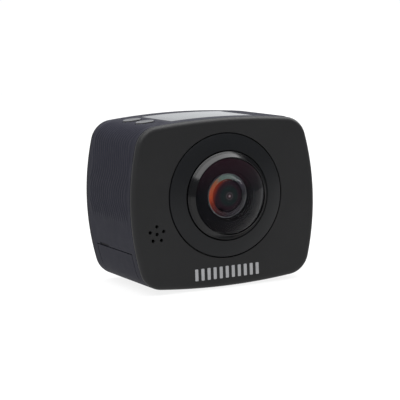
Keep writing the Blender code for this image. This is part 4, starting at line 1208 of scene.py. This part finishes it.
def element_with_painted_reflections():
    """The second element with painted reflections: rings about the axis, a pale highlight in the
    middle, and a warm crescent where it leans from a circle.
    """
    paint = finish("element_reflection_paint", (0.006, 0.008, 0.01), 0.45, specular=0.02, grain=2 * mm,
                   depth=0.0003 * mm, drift=0.3)
    nodes = paint.node_tree.nodes
    wire = paint.node_tree.links.new
    reach = reach_from(nodes, wire, 0, lens_height)
    share = remap(nodes, wire, reach, 0.0, second_radius)
    rings = colour_ramp(nodes, wire, share.outputs["Result"], element_reflection_colours)
    aside = reach_from(nodes, wire, crescent_aside, lens_height - crescent_below)
    crescent = remap(nodes, wire, aside, crescent_from, crescent_full)
    crescent.interpolation_type = "SMOOTHSTEP"
    flare = mixed_over(nodes, wire, rings, crescent_reflection_colour, crescent.outputs["Result"])
    wire(flare, nodes["Principled BSDF"].inputs["Base Color"])
    return paint


element_reflection_paint = element_with_painted_reflections()
print("rings in the element's depth:", len(element_reflection_colours))

# %% Blackened metal under a faint painted glow
veil_glow = 0.65
# painted light: a glow of the black parts' own, plum above and grey below, standing for light strayed
# in the glass
painted_glow_colours = [
    (0.0, (0.006, 0.0055, 0.0065)),
    (0.55, (0.006, 0.0065, 0.008)),
    (1.0, (0.022, 0.010, 0.015)),
]
lip_metal = finish("lip_metal", (0.12, 0.13, 0.135), 0.6, specular=0.1, grain=0.1 * mm,
                   depth=0.001 * mm)


def black_with_painted_glow(name):
    """Matt black with a painted glow of its own, a faint veil of stray light, plum above and grey
    below.
    """
    paint = finish(name, (0.003, 0.003, 0.0035), 0.8, specular=0.02, grain=0.1 * mm,
                   depth=0.003 * mm)
    nodes = paint.node_tree.nodes
    wire = paint.node_tree.links.new
    shader = nodes["Principled BSDF"]
    place = nodes.new("ShaderNodeTexCoord")
    parts = nodes.new("ShaderNodeSeparateXYZ")
    wire(place.outputs["Object"], parts.inputs[0])
    lowest = lens_height - mouth_radius
    highest = lens_height + mouth_radius
    share = remap(nodes, wire, parts.outputs["Z"], lowest, highest)
    veil = colour_ramp(nodes, wire, share.outputs["Result"], painted_glow_colours)
    wire(veil, shader.inputs["Emission Color"])
    shader.inputs["Emission Strength"].default_value = veil_glow
    return paint


baffle_black_glow = black_with_painted_glow("baffle_black_glow")
edge_black_glow = black_with_painted_glow("edge_black_glow")
blackened_metal = finish("blackened_metal", (0.012, 0.012, 0.013), 0.5, specular=0.3,
                         grain=0.1 * mm, depth=0.003 * mm, worn=(0.05, 0.05, 0.05))
print("black finishes of the lens made")

# %% Finish the lens stack and make its rear twin
front_glass.data.materials.append(dome_glass)
front_glass.data.materials.append(edge_black_glow)
for index in edge_faces:
    front_glass.data.polygons[index].material_index = 1

for piece, paint, slot_name, node in (
    (front_glass, dome_glass, "dome_glass", "lens_dome"),
    (front_barrel, baffle_black_glow, "black_metal", "lens_barrel"),
    (front_element, element_reflection_paint, "coated_glass", "second_lens"),
    (front_retainer, rim_reflection_paint, "coated_glass", None),
    (front_lip, lip_metal, "black_metal", None),
):
    rear = turned_copy(piece, piece.name.replace("front", "rear"))
    wear(piece, paint, "camera", [f"front_{node}"] if node else ())
    wear(rear, paint, "camera", [f"rear_{node}"] if node else ())

# %% [markdown]
# ## Display window
# The display sits under a smoked window that carries the roof's curve on, so that the top is one
# smooth sweep. A grid is bent to the roof, pulled down into a plate and flattened below, and its
# edges are rounded. The display's paler field is seen through the smoke, so it is part of the
# window's finish: a soft-edged rectangle mixed in by place.

# %% Window
bpy.ops.object.select_all(action="DESELECT")
bpy.ops.mesh.primitive_grid_add(x_subdivisions=36, y_subdivisions=2, size=1.0)
display_glass = bpy.context.object
display_glass.name = "display_glass"
window_size = window_high - window_low
window_rounding = 0.18 * mm
for vert in display_glass.data.vertices:
    x = vert.co.x * window_size.x
    vert.co = (x, vert.co.y * window_size.y, roof(x))
edit(display_glass)
bpy.ops.mesh.select_all(action="SELECT")
bpy.ops.mesh.extrude_region_move(TRANSFORM_OT_translate={"value": (0, 0, -wall)})
bpy.ops.transform.resize(value=(1, 1, 0), center_override=(0, 0, window_low.z))
close_edit()
tidy_mesh(display_glass)
round_edges(display_glass, window_rounding, 3, 50)
smooth(display_glass, 35, weighted=True)
print("window in mm:", [round(value / mm, 1) for value in window_size])

# %% Smoked glass with the display's field under it
field_sides = {"X": window_size.x / 2 - 3.2 * mm, "Y": window_size.y / 2 - 3.0 * mm}
field_softness = 0.15 * mm
display_tone = (0.03, 0.034, 0.032)
smoked_glass = finish("smoked_glass", (0.012, 0.012, 0.014), 0.12, specular=0.1, grain=3 * mm,
                      depth=0.0006 * mm, drift=0.2)
smoke_nodes = smoked_glass.node_tree.nodes
smoke_wire = smoked_glass.node_tree.links.new
smoke_shader = smoke_nodes["Principled BSDF"]
smoke_tone = smoke_shader.inputs["Base Color"].links[0].from_socket
smoke_place = smoke_nodes.new("ShaderNodeTexCoord")
smoke_parts = smoke_nodes.new("ShaderNodeSeparateXYZ")
smoke_wire(smoke_place.outputs["Object"], smoke_parts.inputs[0])
field = smoke_nodes.new("ShaderNodeMath")
field.operation = "MULTIPLY"
for index, (axis, side) in enumerate(field_sides.items()):
    size = smoke_nodes.new("ShaderNodeMath")
    size.operation = "ABSOLUTE"
    smoke_wire(smoke_parts.outputs[axis], size.inputs[0])
    within = remap(smoke_nodes, smoke_wire, size.outputs["Value"], side + field_softness, side)
    smoke_wire(within.outputs["Result"], field.inputs[index])
field_share = field.outputs["Value"]
smoke_out = mixed_over(smoke_nodes, smoke_wire, smoke_tone, display_tone, field_share)
smoke_wire(smoke_out, smoke_shader.inputs["Base Color"])
wear(display_glass, smoked_glass, "camera", ["display_window"])

# %% [markdown]
# ## Buttons
# Two round caps stand half a millimetre out of the roof, dished for the finger, each with a flange
# under the roof that holds it in and a stem that meets its switch. Both are turned from the same
# section and tilted square to the roof. Each rides on its own body, so each can be pressed.

# %% Section of a button
button_rise = 0.5 * mm
button_dish = 0.25 * mm
under_roof = -(wall + 2 * gap)
flange = 0.8 * mm
stem = 0.7 * mm
stem_radius = 1.0 * mm
dish_points = 6
dish = []
for index in range(dish_points + 1):
    radius = (button_radius - 0.2 * mm) * index / dish_points
    dish.append((radius, button_rise - button_dish * (1 - (radius / button_radius) ** 2)))
key_section = dish + [
    (button_radius - 0.08 * mm, button_rise - 0.03 * mm),
    (button_radius, button_rise - 0.14 * mm),
    (button_radius, under_roof),
    (button_radius + flange, under_roof),
    (button_radius + flange, under_roof - flange),
    (stem_radius, under_roof - flange),
    (stem_radius, under_roof - flange - stem),
    (0.0, under_roof - flange - stem),
]
print("points in a button's section:", len(key_section))

# %% Turn both buttons
for name, depth in button_depths.items():
    key = turn(name.replace("button", "key"), key_section, 64)
    key.matrix_world = button_frame(depth)
    settle(key)
    smooth(key, 35, weighted=True)
    wear(key, key_black, name, [name])

# %% [markdown]
# ## Printed scale
# Pale marks are printed across the foot of the front face. They are plain upright bars, a generic
# scale. One bar is made as a thin rounded pad, copied along the row and joined into one print.

# %% Printed scale
mark_pitch = 2.0 * mm
mark_size = Vector((1.0 * mm, 0.03 * mm, 3.5 * mm))
mark_count = 11
mark_rounding = 0.2 * mm
mark_middle = Vector((-0.4 * mm, -face, middle - 20.5 * mm))
first_mark = block("mark", mark_middle - mark_size / 2, mark_middle + mark_size / 2)
edit(first_mark)
pick_edges(first_mark, lambda one, two: abs(one.y - two.y) > mark_size.y / 2)
bpy.ops.mesh.bevel(offset=mark_rounding, segments=3, affect="EDGES")
close_edit()
marks = []
for index in range(mark_count):
    take(first_mark)
    bpy.ops.object.duplicate(linked=False)
    mark = bpy.context.object
    mark.location.x = (index - (mark_count - 1) / 2) * mark_pitch
    marks.append(settle(mark))
bpy.data.objects.remove(first_mark, do_unlink=True)
printed_scale = joined("printed_scale", marks)
print_ink = finish("print_ink", (0.34, 0.34, 0.35), 0.5, specular=0.4, grain=0.12 * mm,
                   depth=0.002 * mm, drift=0.15, patch=1.5 * mm)
wear(printed_scale, print_ink, "camera")

# %% [markdown]
# ## Finishes of the parts inside
# The parts inside keep their own shape. Some show when the door is open, through the ports or from
# below: the battery's sleeve, the steel port shells, the blackened base plate, the brass insert.
# Boards get a lacquer with traces, metals a brushed grain, rubber and wrap a soft matte.

# %% Inner finishes
brushed_steel = finish("brushed_steel", (0.5, 0.5, 0.52), 0.3, metallic=1.0, grain=0.15 * mm,
                       depth=0.002 * mm, drift=0.1, patch=3 * mm, worn=(0.75, 0.75, 0.76))
turned_brass = finish("turned_brass", (0.62, 0.43, 0.17), 0.28, metallic=1.0, grain=0.12 * mm,
                      depth=0.003 * mm, drift=0.15, patch=2 * mm, worn=(0.85, 0.65, 0.33))
bare_copper = finish("bare_copper", (0.6, 0.3, 0.16), 0.35, metallic=1.0, grain=0.1 * mm,
                     depth=0.002 * mm, drift=0.2)
base_metal = finish("base_metal", (0.02, 0.02, 0.021), 0.42, metallic=0.4, grain=0.2 * mm,
                    depth=0.01 * mm, worn=(0.16, 0.16, 0.17))
chip_resin = finish("chip_resin", (0.02, 0.02, 0.022), 0.5, grain=0.1 * mm, depth=0.004 * mm)
frame_plastic = finish("frame_plastic", (0.05, 0.05, 0.054), 0.55, grain=0.3 * mm, depth=0.008 * mm,
                       worn=(0.1, 0.1, 0.1))
battery_wrap = finish("battery_wrap", (0.07, 0.08, 0.1), 0.4, specular=0.5, grain=1.5 * mm,
                      depth=0.01 * mm, drift=0.15, worn=(0.2, 0.2, 0.22))
seal_rubber = finish("seal_rubber", (0.015, 0.015, 0.015), 0.75, specular=0.3, grain=0.15 * mm,
                     depth=0.01 * mm)
print("inner finishes made")

# %% Board lacquer
trace_pitch = 4 * mm
trace_width = 0.03
trace_colour = (0.03, 0.13, 0.06)


def circuit_lacquer():
    """Green solder lacquer with paler traces, drawn by the joints of a brick pattern."""
    paint = finish("circuit_lacquer", (0.012, 0.07, 0.035), 0.35, grain=0.3 * mm,
                   depth=0.003 * mm)
    nodes = paint.node_tree.nodes
    wire = paint.node_tree.links.new
    shader = nodes["Principled BSDF"]
    tone = shader.inputs["Base Color"].links[0].from_socket
    place = nodes.new("ShaderNodeTexCoord")
    laid = nodes.new("ShaderNodeMapping")
    laid.inputs["Rotation"].default_value = (math.pi / 2, 0, 0)
    wire(place.outputs["Object"], laid.inputs["Vector"])
    traces = nodes.new("ShaderNodeTexBrick")
    traces.inputs["Scale"].default_value = 1 / trace_pitch
    traces.inputs["Mortar Size"].default_value = trace_width
    traces.inputs["Color1"].default_value = (0, 0, 0, 1)
    traces.inputs["Color2"].default_value = (0, 0, 0, 1)
    traces.inputs["Mortar"].default_value = (1, 1, 1, 1)
    wire(laid.outputs["Vector"], traces.inputs["Vector"])
    drawn = mixed_over(nodes, wire, tone, trace_colour, traces.outputs["Color"])
    wire(drawn, shader.inputs["Base Color"])
    return paint


board_lacquer = circuit_lacquer()
print("trace pitch in mm:", round(trace_pitch / mm, 1))

# %% Give each part its finish by the word in its name
inner_finishes = {
    "board": board_lacquer,
    "connector": chip_resin,
    "sensor": chip_resin,
    "chip": chip_resin,
    "module": chip_resin,
    "memory_card": chip_resin,
    "screw": brushed_steel,
    "shield": brushed_steel,
    "pin": brushed_steel,
    "socket": brushed_steel,
    "port": brushed_steel,
    "switch": brushed_steel,
    "microphone": brushed_steel,
    "contacts": turned_brass,
    "insert": turned_brass,
    "antenna": bare_copper,
    "base_plate": base_metal,
    "mount": blackened_metal,
    "speaker": blackened_metal,
    "inner_frame": frame_plastic,
    "battery": battery_wrap,
    "seal": seal_rubber,
}
shown = {name: node for name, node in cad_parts.items() if not node.hide_render}
for name, node in shown.items():
    longest = max((word for word in inner_finishes if word in name), key=len)
    node.data.materials.clear()
    node.data.materials.append(inner_finishes[longest])
print("parts with a finish of their own:", len(shown))
